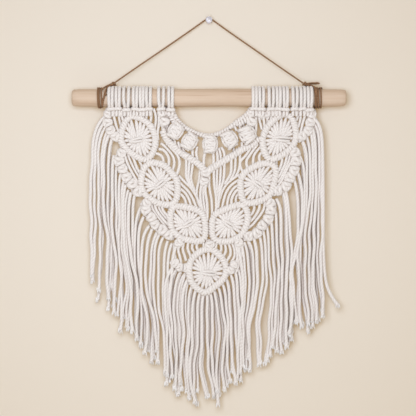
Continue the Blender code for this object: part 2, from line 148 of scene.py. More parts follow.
wall = quad("wall", [(-ROOM_REACH, WALL_BACK, FLOOR_LEVEL), (ROOM_REACH, WALL_BACK, FLOOR_LEVEL),
                     (ROOM_REACH, WALL_BACK, ROOM_REACH), (-ROOM_REACH, WALL_BACK, ROOM_REACH)], wall_paint)
floor = quad("floor", [(-ROOM_REACH, -2 * ROOM_REACH, FLOOR_LEVEL),
                       (ROOM_REACH, -2 * ROOM_REACH, FLOOR_LEVEL),
                       (ROOM_REACH, ROOM_REACH, FLOOR_LEVEL),
                       (-ROOM_REACH, ROOM_REACH, FLOOR_LEVEL)], floor_paint)

lamp = bpy.data.lights.new("window", "AREA")
lamp.shape = "SQUARE"
lamp.size = WINDOW_SIZE
lamp.energy = WINDOW_WATTS
lamp.color = WINDOW_COLOUR
window = bpy.data.objects.new("window", lamp)
window.location = WINDOW_PLACE
towards = np.subtract(WINDOW_AIM, WINDOW_PLACE)
window.rotation_euler = (math.atan2(math.hypot(towards[0], towards[1]), -towards[2]), 0,
                         math.atan2(-towards[0], towards[1]))
bpy.context.collection.objects.link(window)

world = bpy.data.worlds.new("room")
world.use_nodes = True
sky = world.node_tree.nodes["Background"]
give(sky, Color=ROOM_COLOUR)
around = add_node(world.node_tree, "ShaderNodeTexCoord")
height = add_node(world.node_tree, "ShaderNodeSeparateXYZ")
join(around, "Generated", height, "Vector")
low, high = ROOM_STRENGTH
glow = add_node(world.node_tree, "ShaderNodeMapRange", dict(From_Min=-1.0, To_Min=low, To_Max=high))
join(height, "Z", glow, "Value")
join(glow, "Result", sky, "Strength")
bpy.context.scene.world = world
bpy.context.scene.view_settings.view_transform = "Standard"

# The hanger twine: two-ply brown jute, taut from the left knot over the pin's waist to the right knot. The
# same surface function sweeps every cord of the hanging, and one node group gives the twist of every yarn
# and the mask of the painted shade between cords.

CLOTH_Y = -17.0  # middle plane of the rod and of the cloth
TWINE_ROUTE = (
    (-127.0, -16.9, -85.6), (-93.6, -14.0, -62.1), (-60.6, -11.1, -39.2), (-29.0, -8.2, -16.9),
    (-7.8, -6.3, -1.6), (-2.6, -5.8, 2.3), (0.0, -5.7, 3.2), (2.6, -5.8, 2.3), (7.8, -6.3, -1.7),
    (29.0, -8.2, -17.2), (60.7, -11.1, -39.7), (93.6, -14.0, -63.0), (126.2, -16.9, -85.9),
)
LEG_POINTS = 27  # on each side of the pin, as the solid has
TWINE_POINTS = 420
TWINE = 2.0
JUTE_TWIST = 6.0  # length of one turn of its plies
# Jute colours: the first is painted shade between cords; dark and light follow a fibre noise and the plies, so
# the grooves between plies are darker, partly painted shade and partly the fibres' own tone.
JUTE_PAINTED_SHADE = (0.045, 0.018, 0.007, 1.0)
JUTE_DARK = (0.082, 0.037, 0.016, 1.0)
JUTE_LIGHT = (0.345, 0.190, 0.098, 1.0)


def even_steps(points, count):
    """The same line read at count points, evenly spaced along it."""
    lengths = np.linalg.norm(np.diff(points, axis=0), axis=1)
    along = np.concatenate([[0.0], np.cumsum(lengths)])
    wanted = np.linspace(0, along[-1], count)
    return np.column_stack([np.interp(wanted, along, column) for column in points.T])


def smooth_path(points, count):
    """A Catmull-Rom curve through the points, read at count even steps of its length."""
    points = np.asarray(points, float)
    padded = np.vstack([2 * points[0] - points[1], points, 2 * points[-1] - points[-2]])
    a, b, c, d = (padded[k : len(padded) - 3 + k, None] for k in range(4))
    t = np.linspace(0, 1, 12, endpoint=False)[:, None]
    curve = 2 * b + (c - a) * t + (2 * a - 5 * b + 4 * c - d) * t**2 + (3 * b - a - 3 * c + d) * t**3
    return even_steps(np.vstack([curve.reshape(-1, points.shape[1]) / 2, points[-1:]]), count)


def unit(vectors):
    """Vectors scaled to length one along their last axis."""
    return vectors / np.linalg.norm(vectors, axis=-1, keepdims=True)


def cords(paths, radius, facing=(0, -1, 0), sides=9, closed=False, lobe=0.05, twist=14.0, plies=3, seed=1):
    """Round cords swept along many paths at once, each path a row of as many points.

    A point of the skin is path + radius * (1 + lobe * cos(plies * (angle - turn))) * (cos(angle) * out +
    sin(angle) * aside), where turn grows by a full circle in each twist length, out is facing made square to
    the path, and aside is the path's direction crossed with out. The UV map holds the angle and the turns so
    far, each as a share of a circle, and the attribute tone one random value for each cord.
    """
    paths = np.asarray(paths, float)
    paths = paths[None] if paths.ndim == 2 else paths
    count, length = paths.shape[:2]
    if closed:
        ahead = np.roll(paths, -1, axis=1)
        along = unit(ahead - np.roll(paths, 1, axis=1))
        steps = np.linalg.norm(ahead - paths, axis=2)
    else:
        along = unit(np.gradient(paths, axis=1))
        steps = np.linalg.norm(np.diff(paths, axis=1), axis=2)
    turn = np.concatenate([np.zeros((count, 1)), np.cumsum(steps, axis=1)], axis=1) / twist
    if closed:
        turn *= np.maximum(np.round(turn[:, -1:] * plies), 1) / plies / turn[:, -1:]
    out = np.broadcast_to(np.asarray(facing, float), paths.shape)
    out = unit(out - (out * along).sum(2, keepdims=True) * along)
    aside = np.cross(along, out)
    angle = (np.arange(sides) / sides + 0.5) * 2 * math.pi
    lobes = 1 + lobe * np.cos(plies * (angle - 2 * math.pi * turn[:, :length, None]))
    thick = np.broadcast_to(radius, (count, length))
    spokes = np.cos(angle)[:, None] * out[:, :, None] + np.sin(angle)[:, None] * aside[:, :, None]
    skin = paths[:, :, None] + (thick[:, :, None] * lobes)[..., None] * spokes

    cord = np.arange(count)[:, None, None] * length
    ring = np.arange(length if closed else length - 1)[None, :, None]
    after = (ring + 1) % length
    edge = np.arange(sides)[None, None, :]
    beside = (edge + 1) % sides
    corners = [(ring, edge), (ring, beside), (after, beside), (after, edge)]
    quads = np.stack([(cord + r) * sides + s for r, s in corners], axis=-1).reshape(-1, 4)
    edges = edge + 0 * cord + 0 * ring
    across = np.stack([edges, edges + 1, edges + 1, edges], axis=-1)
    low = np.broadcast_to(turn[:, :-1, None], across.shape[:3])
    high = np.broadcast_to(turn[:, 1:, None], across.shape[:3])
    uv = np.stack([across / sides, np.stack([low, low, high, high], axis=-1)], axis=-1).reshape(-1, 2)
    tone = np.random.default_rng(seed).uniform(size=count)
    tones = np.repeat(tone, length * sides)
    co = skin.reshape(-1, 3)
    tris = np.zeros((0, 3), int)
    if not closed:
        first = paths[:, 0] - along[:, 0] * thick[:, :1] * 0.5
        last = paths[:, -1] + along[:, -1] * thick[:, -1:] * 0.5
        pole = len(co) + np.arange(count)[:, None]
        edge, beside = edge[0], beside[0]
        start, end = cord[:, 0] * sides, (cord[:, 0] + length - 1) * sides
        tris = np.concatenate([
            np.stack(np.broadcast_arrays(pole, start + beside, start + edge), axis=-1).reshape(-1, 3),
            np.stack(np.broadcast_arrays(pole + count, end + edge, end + beside), axis=-1).reshape(-1, 3),
        ])
        co = np.concatenate([co, first, last])
        tones = np.concatenate([tones, tone, tone])
        ends = np.repeat(np.concatenate([turn[:, 0], turn[:, -1]]), sides * 3)
        uv = np.concatenate([uv, np.column_stack([np.tile([0.5, 0.5, 0.5], 2 * count * sides), ends])])
    return {"co": co, "quads": quads, "tris": tris, "uv": uv, "tone": tones}


def fitted(name, mesh, finish, node):
    """The object of a finished mesh, riding on the root and standing for its CAD node."""
    mesh.materials.append(finish)
    made = bpy.data.objects.new(name, mesh)
    bpy.context.collection.objects.link(made)
    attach(made, "root")
    if node:
        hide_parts(node)
    return made


def piece(name, shells, finish, node=None):
    """One smooth mesh object from swept shells."""
    start, quads, tris, uv_quads, uv_tris = 0, [], [], [], []
    for shell in shells:
        quads.append(shell["quads"] + start)
        tris.append(shell["tris"] + start)
        uv_quads.append(shell["uv"][: shell["quads"].size])
        uv_tris.append(shell["uv"][shell["quads"].size :])
        start += len(shell["co"])
    quads, tris = np.concatenate(quads), np.concatenate(tris)
    mesh = bpy.data.meshes.new(name)
    mesh.vertices.add(start)
    mesh.vertices.foreach_set("co", (np.concatenate([shell["co"] for shell in shells]) * MM).ravel())
    loops = np.concatenate([quads.ravel(), tris.ravel()])
    mesh.loops.add(len(loops))
    mesh.loops.foreach_set("vertex_index", loops)
    starts = np.concatenate([np.arange(len(quads)) * 4, quads.size + np.arange(len(tris)) * 3])
    mesh.polygons.add(len(starts))
    mesh.polygons.foreach_set("loop_start", starts)
    mesh.update(calc_edges=True)
    mesh.uv_layers.new(name="yarn").uv.foreach_set("vector", np.concatenate(uv_quads + uv_tris).ravel())
    tone = mesh.attributes.new("tone", "FLOAT", "POINT")
    tone.data.foreach_set("value", np.concatenate([shell["tone"] for shell in shells]))
    mesh.shade_smooth()
    return fitted(name, mesh, finish, node)


def yarn_group():
    """The node group of a twisted yarn.

    Ply is 1 on the crown of a ply and 0 between two: (1 + cos(2 pi * plies * (u - v))) / 2. Fibre is a fine
    noise drawn out along the fibres. Height is Ply ** 0.5 + Fuzz * Fibre. Open is the ambient occlusion mask
    of the painted shade: 0 deep between cords that lie closer than Reach and 1 where nothing stands before it.
    """
    group = bpy.data.node_groups.new("twisted_yarn", "ShaderNodeTree")
    for name, value in (("Plies", 3.0), ("Fineness", 9.0), ("Fuzz", 0.5), ("Reach", 0.006)):
        group.interface.new_socket(name, in_out="INPUT", socket_type="NodeSocketFloat").default_value = value
    for name in ("Height", "Open", "Fibre", "Ply"):
        group.interface.new_socket(name, in_out="OUTPUT", socket_type="NodeSocketFloat")
    given, result = add_node(group, "NodeGroupInput"), add_node(group, "NodeGroupOutput")
    uv = add_node(group, "ShaderNodeUVMap", uv_map="yarn")
    split = add_node(group, "ShaderNodeSeparateXYZ")
    join(uv, "UV", split, "Vector")

    def maths(operation, first, second=None, third=None):
        node = add_node(group, "ShaderNodeMath", operation=operation)
        for socket, value in zip(node.inputs, (first, second, third)):
            if isinstance(value, (int, float)):
                socket.default_value = value
            elif value is not None:
                group.links.new(value, socket)
        return node.outputs["Value"]

    lag = maths("SUBTRACT", split.outputs["X"], split.outputs["Y"])
    phase = maths("MULTIPLY", maths("MULTIPLY", lag, given.outputs["Plies"]), 2 * math.pi)
    ply = maths("MULTIPLY_ADD", maths("COSINE", phase), 0.5, 0.5)
    place = add_node(group, "ShaderNodeCombineXYZ")
    group.links.new(maths("MULTIPLY", lag, given.outputs["Fineness"]), place.inputs["X"])
    group.links.new(split.outputs["Y"], place.inputs["Y"])
    tone = add_node(group, "ShaderNodeAttribute", attribute_name="tone")
    apart = 91.0  # so that no two cords show the same stretch of the noise
    group.links.new(maths("MULTIPLY", tone.outputs["Fac"], apart), place.inputs["Z"])
    noise = add_node(group, "ShaderNodeTexNoise", dict(Scale=2.2, Detail=3.0))
    join(place, "Vector", noise, "Vector")
    height = maths("MULTIPLY_ADD", noise.outputs["Fac"], given.outputs["Fuzz"], maths("POWER", ply, 0.5))
    group.links.new(height, result.inputs["Height"])
    join(noise, "Fac", result, "Fibre")
    group.links.new(ply, result.inputs["Ply"])
    # an ambient occlusion probe, whose mask lays painted shade on the yarn between cords
    shelter = add_node(group, "ShaderNodeAmbientOcclusion", samples=6)
    join(given, "Reach", shelter, "Distance")
    openness = add_node(group, "ShaderNodeMapRange", dict(From_Min=0.12, From_Max=0.72))
    join(shelter, "AO", openness, "Value")
    join(openness, "Result", result, "Open")
    return group


YARN = yarn_group()


def yarn_material(name, deep, dark, light, plies, fineness, depth, roughness, sheen, seen=(0.25, 0.8)):
    """A matt yarn: light on its raised fibres and ply crowns, with painted shade between plies and between
    cords.
    """
    made, tree, shader = new_material(name)
    yarn = add_node(tree, "ShaderNodeGroup", dict(Plies=plies, Fineness=fineness), node_tree=YARN)
    # the colour follows a fibre noise and the plies: darker in the grooves between plies, painted shade there
    ramp = add_node(tree, "ShaderNodeValToRGB")
    ramp.color_ramp.elements[0].position, ramp.color_ramp.elements[1].position = seen
    ramp.color_ramp.elements[0].color, ramp.color_ramp.elements[1].color = dark, light
    both = add_node(tree, "ShaderNodeMath", operation="MULTIPLY_ADD")
    both.inputs[1].default_value = 0.35
    join(yarn, "Ply", both, 0)
    join(yarn, "Fibre", both, 2)
    join(both, "Value", ramp, "Fac")
    # painted shade: the colour turns to the deep one where other cords stand close before the yarn
    painted_shade_mix = add_node(tree, "ShaderNodeMix", dict(A=deep), data_type="RGBA")
    join(yarn, "Open", painted_shade_mix, "Factor")
    join(ramp, "Color", painted_shade_mix, "B")
    join(painted_shade_mix, "Result", shader, "Base Color")
    bump = add_node(tree, "ShaderNodeBump", dict(Strength=0.5, Distance=depth))
    join(yarn, "Height", bump, "Height")
    join(bump, "Normal", shader, "Normal")
    give(shader, Roughness=roughness, Sheen_Weight=sheen, Specular_IOR_Level=0.2)
    return made


jute = yarn_material("jute_twine", JUTE_PAINTED_SHADE, JUTE_DARK, JUTE_LIGHT, 2, 8.0, 0.0007, 0.9, 0.02)

fine = smooth_path(TWINE_ROUTE, 601)
top = int(np.argmax(fine[:, 2]))
twine_path = np.vstack([even_steps(fine[: top + 1], LEG_POINTS), even_steps(fine[top:], LEG_POINTS)[1:]])
dense = even_steps(twine_path, TWINE_POINTS)
twine = piece("hanger_twine_cord", [cords(dense, TWINE / 2, sides=10, lobe=0.14, twist=JUTE_TWIST, plies=2)],
              jute, "hanger_twine")

# The push pin: one turned piece of clear, slightly milky plastic, with a flange that sits on the wall, a
# waist for the twine and a head, moulded round a steel needle.

PIN_PROFILE = ((0.0, 0.0), (0.0, 3.7), (-0.3, 4.0), (-1.0, 4.0), (-1.3, 3.8), (-1.8, 2.4), (-2.3, 1.7),
               (-3.2, 1.6), (-8.2, 1.6), (-9.0, 1.7), (-9.6, 2.6), (-10.0, 3.8), (-10.4, 4.1), (-11.4, 4.4),
               (-12.4, 4.5), (-13.0, 4.1), (-13.4, 3.3), (-13.4, 0.0))
NEEDLE = ((-0.4, 0.0), (-0.4, 0.55), (-8.0, 0.55), (-8.0, 0.0))


def turned(profile, centre, axis, segments):
    """A profile of (place along the axis, radius) turned about an axis through centre.

    A point is centre + place * axis + radius * (cos(angle), sin(angle)) across it.
    """
    place, radius = np.array(profile, float).T
    angle = np.arange(segments) / segments * 2 * math.pi
    first, second = [(axis + 1) % 3, (axis + 2) % 3]
    co = np.zeros((len(place), segments, 3))
    co[..., axis] = place[:, None]
    co[..., first] = radius[:, None] * np.cos(angle)
    co[..., second] = radius[:, None] * np.sin(angle)
    ring, edge = np.arange(len(place) - 1)[:, None], np.arange(segments)[None, :]
    beside = (edge + 1) % segments
    quads = np.stack([ring * segments + edge, ring * segments + beside, (ring + 1) * segments + beside,
                      (ring + 1) * segments + edge], axis=-1).reshape(-1, 4)
    return (co.reshape(-1, 3) + np.asarray(centre, float)), quads


def noise_at(tree, scale):
    """A fine noise fixed to the object's own coordinates."""
    place = add_node(tree, "ShaderNodeTexCoord")
    noise = add_node(tree, "ShaderNodeTexNoise", dict(Scale=scale))
    join(place, "Object", noise, "Vector")
    return noise


def solid_piece(name, co, quads, finish, node=None):
    """One smooth mesh object from a turned skin, its poles merged and its normals outward."""
    mesh = bpy.data.meshes.new(name)
    mesh.from_pydata((co * MM).tolist(), [], quads.tolist())
    work = bmesh.new()
    work.from_mesh(mesh)
    bmesh.ops.remove_doubles(work, verts=work.verts, dist=1e-6)
    bmesh.ops.dissolve_degenerate(work, edges=work.edges, dist=1e-7)
    bmesh.ops.recalc_face_normals(work, faces=work.faces)
    work.to_mesh(mesh)
    work.free()
    mesh.shade_smooth()
    mesh.set_sharp_from_angle(angle=math.radians(50))
    return fitted(name, mesh, finish, node)


clear_plastic, tree, shader = new_material("clear_plastic_moulding")
give(shader, Base_Color=(0.92, 0.90, 0.95, 1.0), Roughness=0.16, IOR=1.45, Transmission_Weight=0.5)
noise = noise_at(tree, 900.0)
scratch = add_node(tree, "ShaderNodeBump", dict(Strength=0.15, Distance=0.0001))
join(noise, "Fac", scratch, "Height")
join(scratch, "Normal", shader, "Normal")

needle_steel, tree, shader = new_material("needle_steel")
give(shader, Base_Color=(0.55, 0.55, 0.56, 1.0), Metallic=1.0)
noise = noise_at(tree, 1500.0)
dull = add_node(tree, "ShaderNodeMapRange", dict(To_Min=0.25, To_Max=0.5))
join(noise, "Fac", dull, "Value")
join(dull, "Result", shader, "Roughness")

co, quads = turned(PIN_PROFILE, (0, 0, 0), 1, 40)
solid_piece("push_pin_body", co, quads, clear_plastic, "push_pin")
co, quads = turned(NEEDLE, (0, 0, 0), 1, 14)
solid_piece("push_pin_needle", co, quads, needle_steel)

# The rod: a peeled birch stick, sanded smooth, thickest in the middle, its ends rounded over by hand. Long
# pinkish grain streaks run along it, and it isn't quite straight.

ROD_Z = -105.1
ROD_RADIUS = 11.8
ROD_PROFILE = ((-182.5, 0.0), (-182.5, 5.0), (-182.4, 8.4), (-181.6, 9.7), (-180.0, 10.9), (-175.0, 11.3),
               (-168.5, 11.5), (-120.0, 11.65), (-60.0, 11.8), (0.0, 11.8), (90.0, 11.7), (130.0, 11.55),
               (168.5, 11.4), (176.0, 11.1), (180.5, 10.6), (181.9, 9.8), (182.4, 8.2), (182.5, 5.0),
               (182.5, 0.0))
BIRCH_LIGHT = (0.628, 0.468, 0.336, 1.0)
BIRCH_PALE = (0.673, 0.524, 0.393, 1.0)
BIRCH_STREAK = (0.494, 0.336, 0.227, 1.0)

birch, tree, shader = new_material("birch_rod")
place = add_node(tree, "ShaderNodeTexCoord")
stretch = add_node(tree, "ShaderNodeMapping",
                   dict(Location=(0.0, -CLOTH_Y * MM, -ROD_Z * MM), Scale=(1.0, 30.0, 30.0)))
join(place, "Object", stretch, "Vector")
broad = add_node(tree, "ShaderNodeTexNoise", dict(Scale=7.0, Detail=4.0, Distortion=0.4))
join(stretch, "Vector", broad, "Vector")
hair = add_node(tree, "ShaderNodeMapping", dict(Scale=(18.0, 700.0, 700.0)))
join(place, "Object", hair, "Vector")
grain = add_node(tree, "ShaderNodeTexNoise", dict(Scale=1.0, Detail=5.0))
join(hair, "Vector", grain, "Vector")
tint = add_node(tree, "ShaderNodeValToRGB")
tint.color_ramp.elements[0].position, tint.color_ramp.elements[0].color = 0.33, BIRCH_STREAK
tint.color_ramp.elements[1].position, tint.color_ramp.elements[1].color = 0.62, BIRCH_PALE
middle = tint.color_ramp.elements.new(0.45)
middle.color = BIRCH_LIGHT
blend = add_node(tree, "ShaderNodeMix", dict(Factor=0.35), data_type="FLOAT")
join(broad, "Fac", blend, "A")
join(grain, "Fac", blend, "B")
join(blend, "Result", tint, "Fac")
join(tint, "Color", shader, "Base Color")
furrow = add_node(tree, "ShaderNodeBump", dict(Strength=0.25, Distance=0.0003))
join(grain, "Fac", furrow, "Height")
join(furrow, "Normal", shader, "Normal")
give(shader, Roughness=0.62, Specular_IOR_Level=0.3)

profile = np.array(ROD_PROFILE)
inner = np.unique(np.concatenate([profile[:, 0], np.linspace(-175, 175, 71)]))
radii = np.interp(inner, profile[1:-1, 0], profile[1:-1, 1])
co, quads = turned([ROD_PROFILE[0], *zip(inner, radii), ROD_PROFILE[-1]], (0, CLOTH_Y, ROD_Z), 0, 56)
along = co[:, 0]
bend = 0.25 * np.sin(along / 41.0 + 0.6) + 0.15 * np.sin(along / 17.0)
inside = np.clip((180.0 - np.abs(along)) / 20.0, 0, 1)  # the very ends stay in their place
co[:, 2] += bend * inside
co[:, 1] += 0.2 * np.sin(along / 53.0 + 2.0) * inside
solid_piece("rod_stick", co, quads, birch, "rod")

# The wraps: at each end of the cloth the jute twine is wound round the rod, led up in a few loose strands
# that cross, and knotted to the hanger. The right one keeps a free tail, the left one some frayed ends.

WRAP_GAP = 0.05
WRAP_TWINE, WRAP_PITCH = 2.4, 2.55  # a turn lies flat and a little spread
LEFT_TURNS, LEFT_START = 3, -149.4
RIGHT_TURNS, RIGHT_START = 5, 138.4
WRAP_RADIUS = WRAP_TWINE / 2 - 0.12
FRONT = CLOTH_Y - ROD_RADIUS - TWINE / 2 - 0.2  # where a loose strand lies on the rod's front
ROD_LINE = ((0, CLOTH_Y, ROD_Z), (1, 0, 0))
LEAD_LINE = ((0, CLOTH_Y + 4, ROD_Z), (1, 0, 0))  # the strands that lead up bend round this line
LEAD_RADIUS = 1.15
FORWARDS = np.array([0, -1.0, 0])


def wrap_path(start, turns, begin, end):
    """A helix round the rod: x grows by one pitch a turn, from the angle begin to the angle end.

    Angles run from the top over the front (-Y): place = rod + radius * (-sin(angle), cos(angle)).
    """
    angle = np.linspace(begin, end + 2 * math.pi * (turns - 1), turns * 40)
    radius = ROD_RADIUS + WRAP_TWINE / 2 + WRAP_GAP + 0.35 * np.sin(angle * 0.7 + start) ** 2
    x = start + WRAP_TWINE / 2 + (angle - begin) / (2 * math.pi) * WRAP_PITCH
    wobble = 0.35 * np.sin(angle * 0.37 + start)
    return np.column_stack([x + wobble, CLOTH_Y - radius * np.sin(angle), ROD_Z + radius * np.cos(angle)])


def knot_turns(place, lean, width, gap, turns):
    """Closed turns of twine stacked along a line that leans clockwise from upright by so many degrees."""
    angle = np.linspace(0, 2 * math.pi, 16, endpoint=False)
    lean = math.radians(lean)
    axis = np.array([math.sin(lean), 0, math.cos(lean)])
    across = np.array([math.cos(lean), 0, -math.sin(lean)])
    made = []
    for turn in range(turns):
        slant = 0.5 * (-1) ** turn * np.cos(angle)
        level = (turn - (turns - 1) / 2) * gap
        made.append(np.asarray(place) + (level + slant)[:, None] * axis
                    + np.cos(angle)[:, None] * across * width
                    + np.sin(angle)[:, None] * FORWARDS * width)
    return np.array(made)


def radial(paths, centre, axis=None):
    """The direction outwards from a centre, or from a line through it along axis, at each point."""
    away = paths - np.asarray(centre, float)
    if axis is not None:
        axis = unit(np.asarray(axis, float))
        away = away - (away @ axis)[..., None] * axis
    return unit(away)


def twine_shell(path, radius=TWINE / 2, facing=(0, -1, 0), closed=False, seed=1):
    """Jute twine swept along paths, with the twist and lobes of its two plies."""
    return cords(path, radius, facing, 8, closed, lobe=0.14, twist=JUTE_TWIST, plies=2, seed=seed)


left = wrap_path(LEFT_START, LEFT_TURNS, 0.3, 0.3 + 2.7)
rise = smooth_path([(-141.5, FRONT + 4.5, -115.5), (-140.0, FRONT - 0.4, -109.0),
                    (-137.6, FRONT - 0.6, -101.5), (-136.2, FRONT + 3.4, -94.5),
                    (-133.4, CLOTH_Y - 4.5, -90.2), (-127.5, CLOTH_Y - 1.2, -87.6)], 40)
cross = smooth_path([(-143.5, CLOTH_Y - 9.5, -95.0), (-140.0, CLOTH_Y - 8.5, -93.0),
                     (-136.5, CLOTH_Y - 6.0, -90.4), (-132.0, CLOTH_Y - 2.5, -88.0),
                     (-127.5, CLOTH_Y + 0.4, -86.2)], 36)
third = smooth_path([(-137.6, FRONT - 0.2, -103.0), (-137.2, FRONT + 1.0, -97.5),
                     (-134.6, CLOTH_Y - 8.0, -91.6), (-131.0, CLOTH_Y - 3.5, -88.6),
                     (-127.0, CLOTH_Y - 1.6, -86.6)], 36)
knot = (-128.0, CLOTH_Y - 0.4, -87.0)
bend = knot_turns(knot, 56, 1.9, 1.9, 3)
small = (-137.2, FRONT - 0.6, -101.6)
hitch = knot_turns(small, 15, 1.3, 1.6, 2)
frays = smooth_path([(-127.0, CLOTH_Y - 0.5, -87.8), (-124.8, CLOTH_Y - 1.6, -88.6),
                     (-123.0, CLOTH_Y - 2.4, -89.6)], 14)
piece("twine_wrap_left_turns", [
    twine_shell(left, WRAP_RADIUS, radial(left, *ROD_LINE)),
    twine_shell(rise, 1.3, radial(rise, *LEAD_LINE)),
    twine_shell(cross, LEAD_RADIUS, radial(cross, *LEAD_LINE)),
    twine_shell(third, LEAD_RADIUS, radial(third, *LEAD_LINE)),
    twine_shell(bend, LEAD_RADIUS, radial(bend, knot), closed=True),
    twine_shell(hitch, 0.9, radial(hitch, small), closed=True),
    twine_shell(frays, 0.7),
], jute, "twine_wrap_left")

right = wrap_path(RIGHT_START, RIGHT_TURNS, -0.2, 0.4)
lead = smooth_path([(142.0, CLOTH_Y - 12.4, -100.5), (141.6, CLOTH_Y - 9.5, -95.6),
                    (140.0, CLOTH_Y - 5.5, -91.6), (137.0, CLOTH_Y - 2.4, -89.4),
                    (131.5, CLOTH_Y - 0.8, -88.2)], 30)
twin = lead + np.array([-1.4, -0.6, 0.9]) * np.linspace(0.3, 1, 30)[:, None]
tail = smooth_path([(129.5, CLOTH_Y + 1.0, -87.0), (136.0, CLOTH_Y + 0.6, -86.3),
                    (142.0, CLOTH_Y + 0.4, -86.2), (147.6, CLOTH_Y + 0.2, -85.6)], 30)
second = tail + np.array([0.4, -1.7, 1.1])
knot = (129.6, CLOTH_Y - 0.3, -87.4)
bend = knot_turns(knot, -65, 2.1, 2.1, 4)
piece("twine_wrap_right_turns", [
    twine_shell(right, WRAP_RADIUS, radial(right, *ROD_LINE)),
    twine_shell(lead, LEAD_RADIUS, radial(lead, *LEAD_LINE)),
    twine_shell(twin, 0.9, radial(twin, *LEAD_LINE)),
    twine_shell(bend, LEAD_RADIUS, radial(bend, knot), closed=True),
    twine_shell(tail, 1.1),
    twine_shell(second[:26], 0.8),
], jute, "twine_wrap_right")

# Lark's heads: each three-ply cotton cord is doubled, its bight laid as a bar below the rod's front and its
# two legs brought up the front, round the back, forward under the rod and down behind the bight.

CORD_RADIUS = 1.95
# Cotton colours: dark and light follow a fibre noise and the plies, so the grooves between plies are darker,
# partly painted shade and partly the fibres' own tone; the third is painted shade where other cords stand
# close before the yarn.
COTTON_LIGHT = (0.852, 0.800, 0.752, 1.0)
COTTON_DARK = (0.70, 0.642, 0.585, 1.0)
COTTON_PAINTED_SHADE = (0.32, 0.195, 0.115, 1.0)  # as seen deep between the cords
LARKS_HEADS = (
    # middle of the pair, half the space between its cords
    (-130.0, 2.2), (-121.0, 2.3), (-109.5, 3.2), (-97.7, 2.4),
    (-89.0, 2.2), (-80.2, 2.5), (-63.4, 3.2), (-51.0, 2.3),
    (60.8, 2.0), (69.8, 2.6), (82.6, 2.5), (92.5, 2.2),
    (101.5, 2.4), (114.0, 2.6), (124.5, 2.2), (134.0, 2.4),
)
LEG_RINGS = 72
LEG_RADIUS = 2.3
BIGHT_SPREAD = 0.24  # how much broader the slack bight is than the taut legs
DIP_RINGS, SPREAD_RINGS = 16.0, 15.0  # after which a bight's dip and its spread have gone
LARK_LEG = (
    # one leg beside the middle: share of the half space, how far beyond it, y and z from the rod's axis
    (0.0, 0.0, -7.7, -15.4), (0.0, 2.4, -7.8, -15.4), (0.0, 3.7, -7.3, -15.6), (0.0, 3.9, -3.6, -15.6),
    (0.3, 2.6, 3.0, -15.2), (0.8, 0.4, 9.4, -11.2), (1.0, 0.0, 13.7, -4.2), (1.0, 0.0, 13.7, 4.2),
    (1.0, 0.0, 8.4, 11.5), (1.0, 0.0, 0.0, 13.7), (1.0, 0.0, -7.6, 11.8), (1.0, 0.0, -11.9, 7.7),
    (1.0, 0.0, -13.8, 2.5), (0.9, 0.2, -13.8, -3.5), (0.5, 0.9, -12.0, -8.3), (0.1, 1.7, -9.4, -11.6),
    (0.0, 1.9, -6.0, -14.0), (0.0, 1.9, -4.6, -16.8), (0.1, 1.9, -4.7, -20.2), (0.3, 1.6, -4.0, -24.5),
)

cotton = yarn_material("cotton_cord", COTTON_PAINTED_SHADE, COTTON_DARK, COTTON_LIGHT, 3, 10.0, 0.0008, 0.88, 0.55)


def cotton_shell(paths, radius=CORD_RADIUS, facing=(0, -1, 0), sides=9, closed=False, seed=1):
    """Cotton cords swept along paths, with the twist and lobes that cords() gives three plies."""
    return cords(paths, radius, facing, sides, closed, seed=seed)


legs = []
rng = np.random.default_rng(3)
for middle, half in LARKS_HEADS:
    for hand in (-1, 1):
        leg = np.array(LARK_LEG)
        leg[:, 1] = middle + hand * (leg[:, 0] * half + leg[:, 1])
        legs.append(smooth_path(leg[:, 1:] + (0, CLOTH_Y, ROD_Z), LEG_RINGS))
legs = np.array(legs)
legs[..., 0] += rng.uniform(-0.4, 0.4, (len(legs), 1)) * np.linspace(0, 1, LEG_RINGS) ** 0.5
# each bight sits a little higher or lower than the next and slopes its own way
dip = np.repeat(rng.uniform(-1.6, 1.2, len(legs) // 2), 2)[:, None]
slant = np.repeat(rng.uniform(-0.22, 0.22, len(legs) // 2), 2)[:, None]
slant = slant * (legs[..., 0] - np.repeat([middle for middle, half in LARKS_HEADS], 2)[:, None])
legs[..., 2] += (dip + slant) * np.clip(1 - np.arange(LEG_RINGS) / DIP_RINGS, 0, 1)
outwards = legs - np.array([0, CLOTH_Y, ROD_Z])
outwards[..., 0] = 0
thick = LEG_RADIUS * (1 + BIGHT_SPREAD * np.clip(1 - np.arange(LEG_RINGS) / SPREAD_RINGS, 0, 1))
heads = cotton_shell(legs, thick, outwards, seed=5)
piece("macrame_larks_heads", [heads], cotton, "macrame")

# Leaves: seven closed ovals. Each is a ring of cord hitched tightly round a core, with a score of cords drawn
# from it to a square knot in the middle, whose two crossing cords lie over the rest.

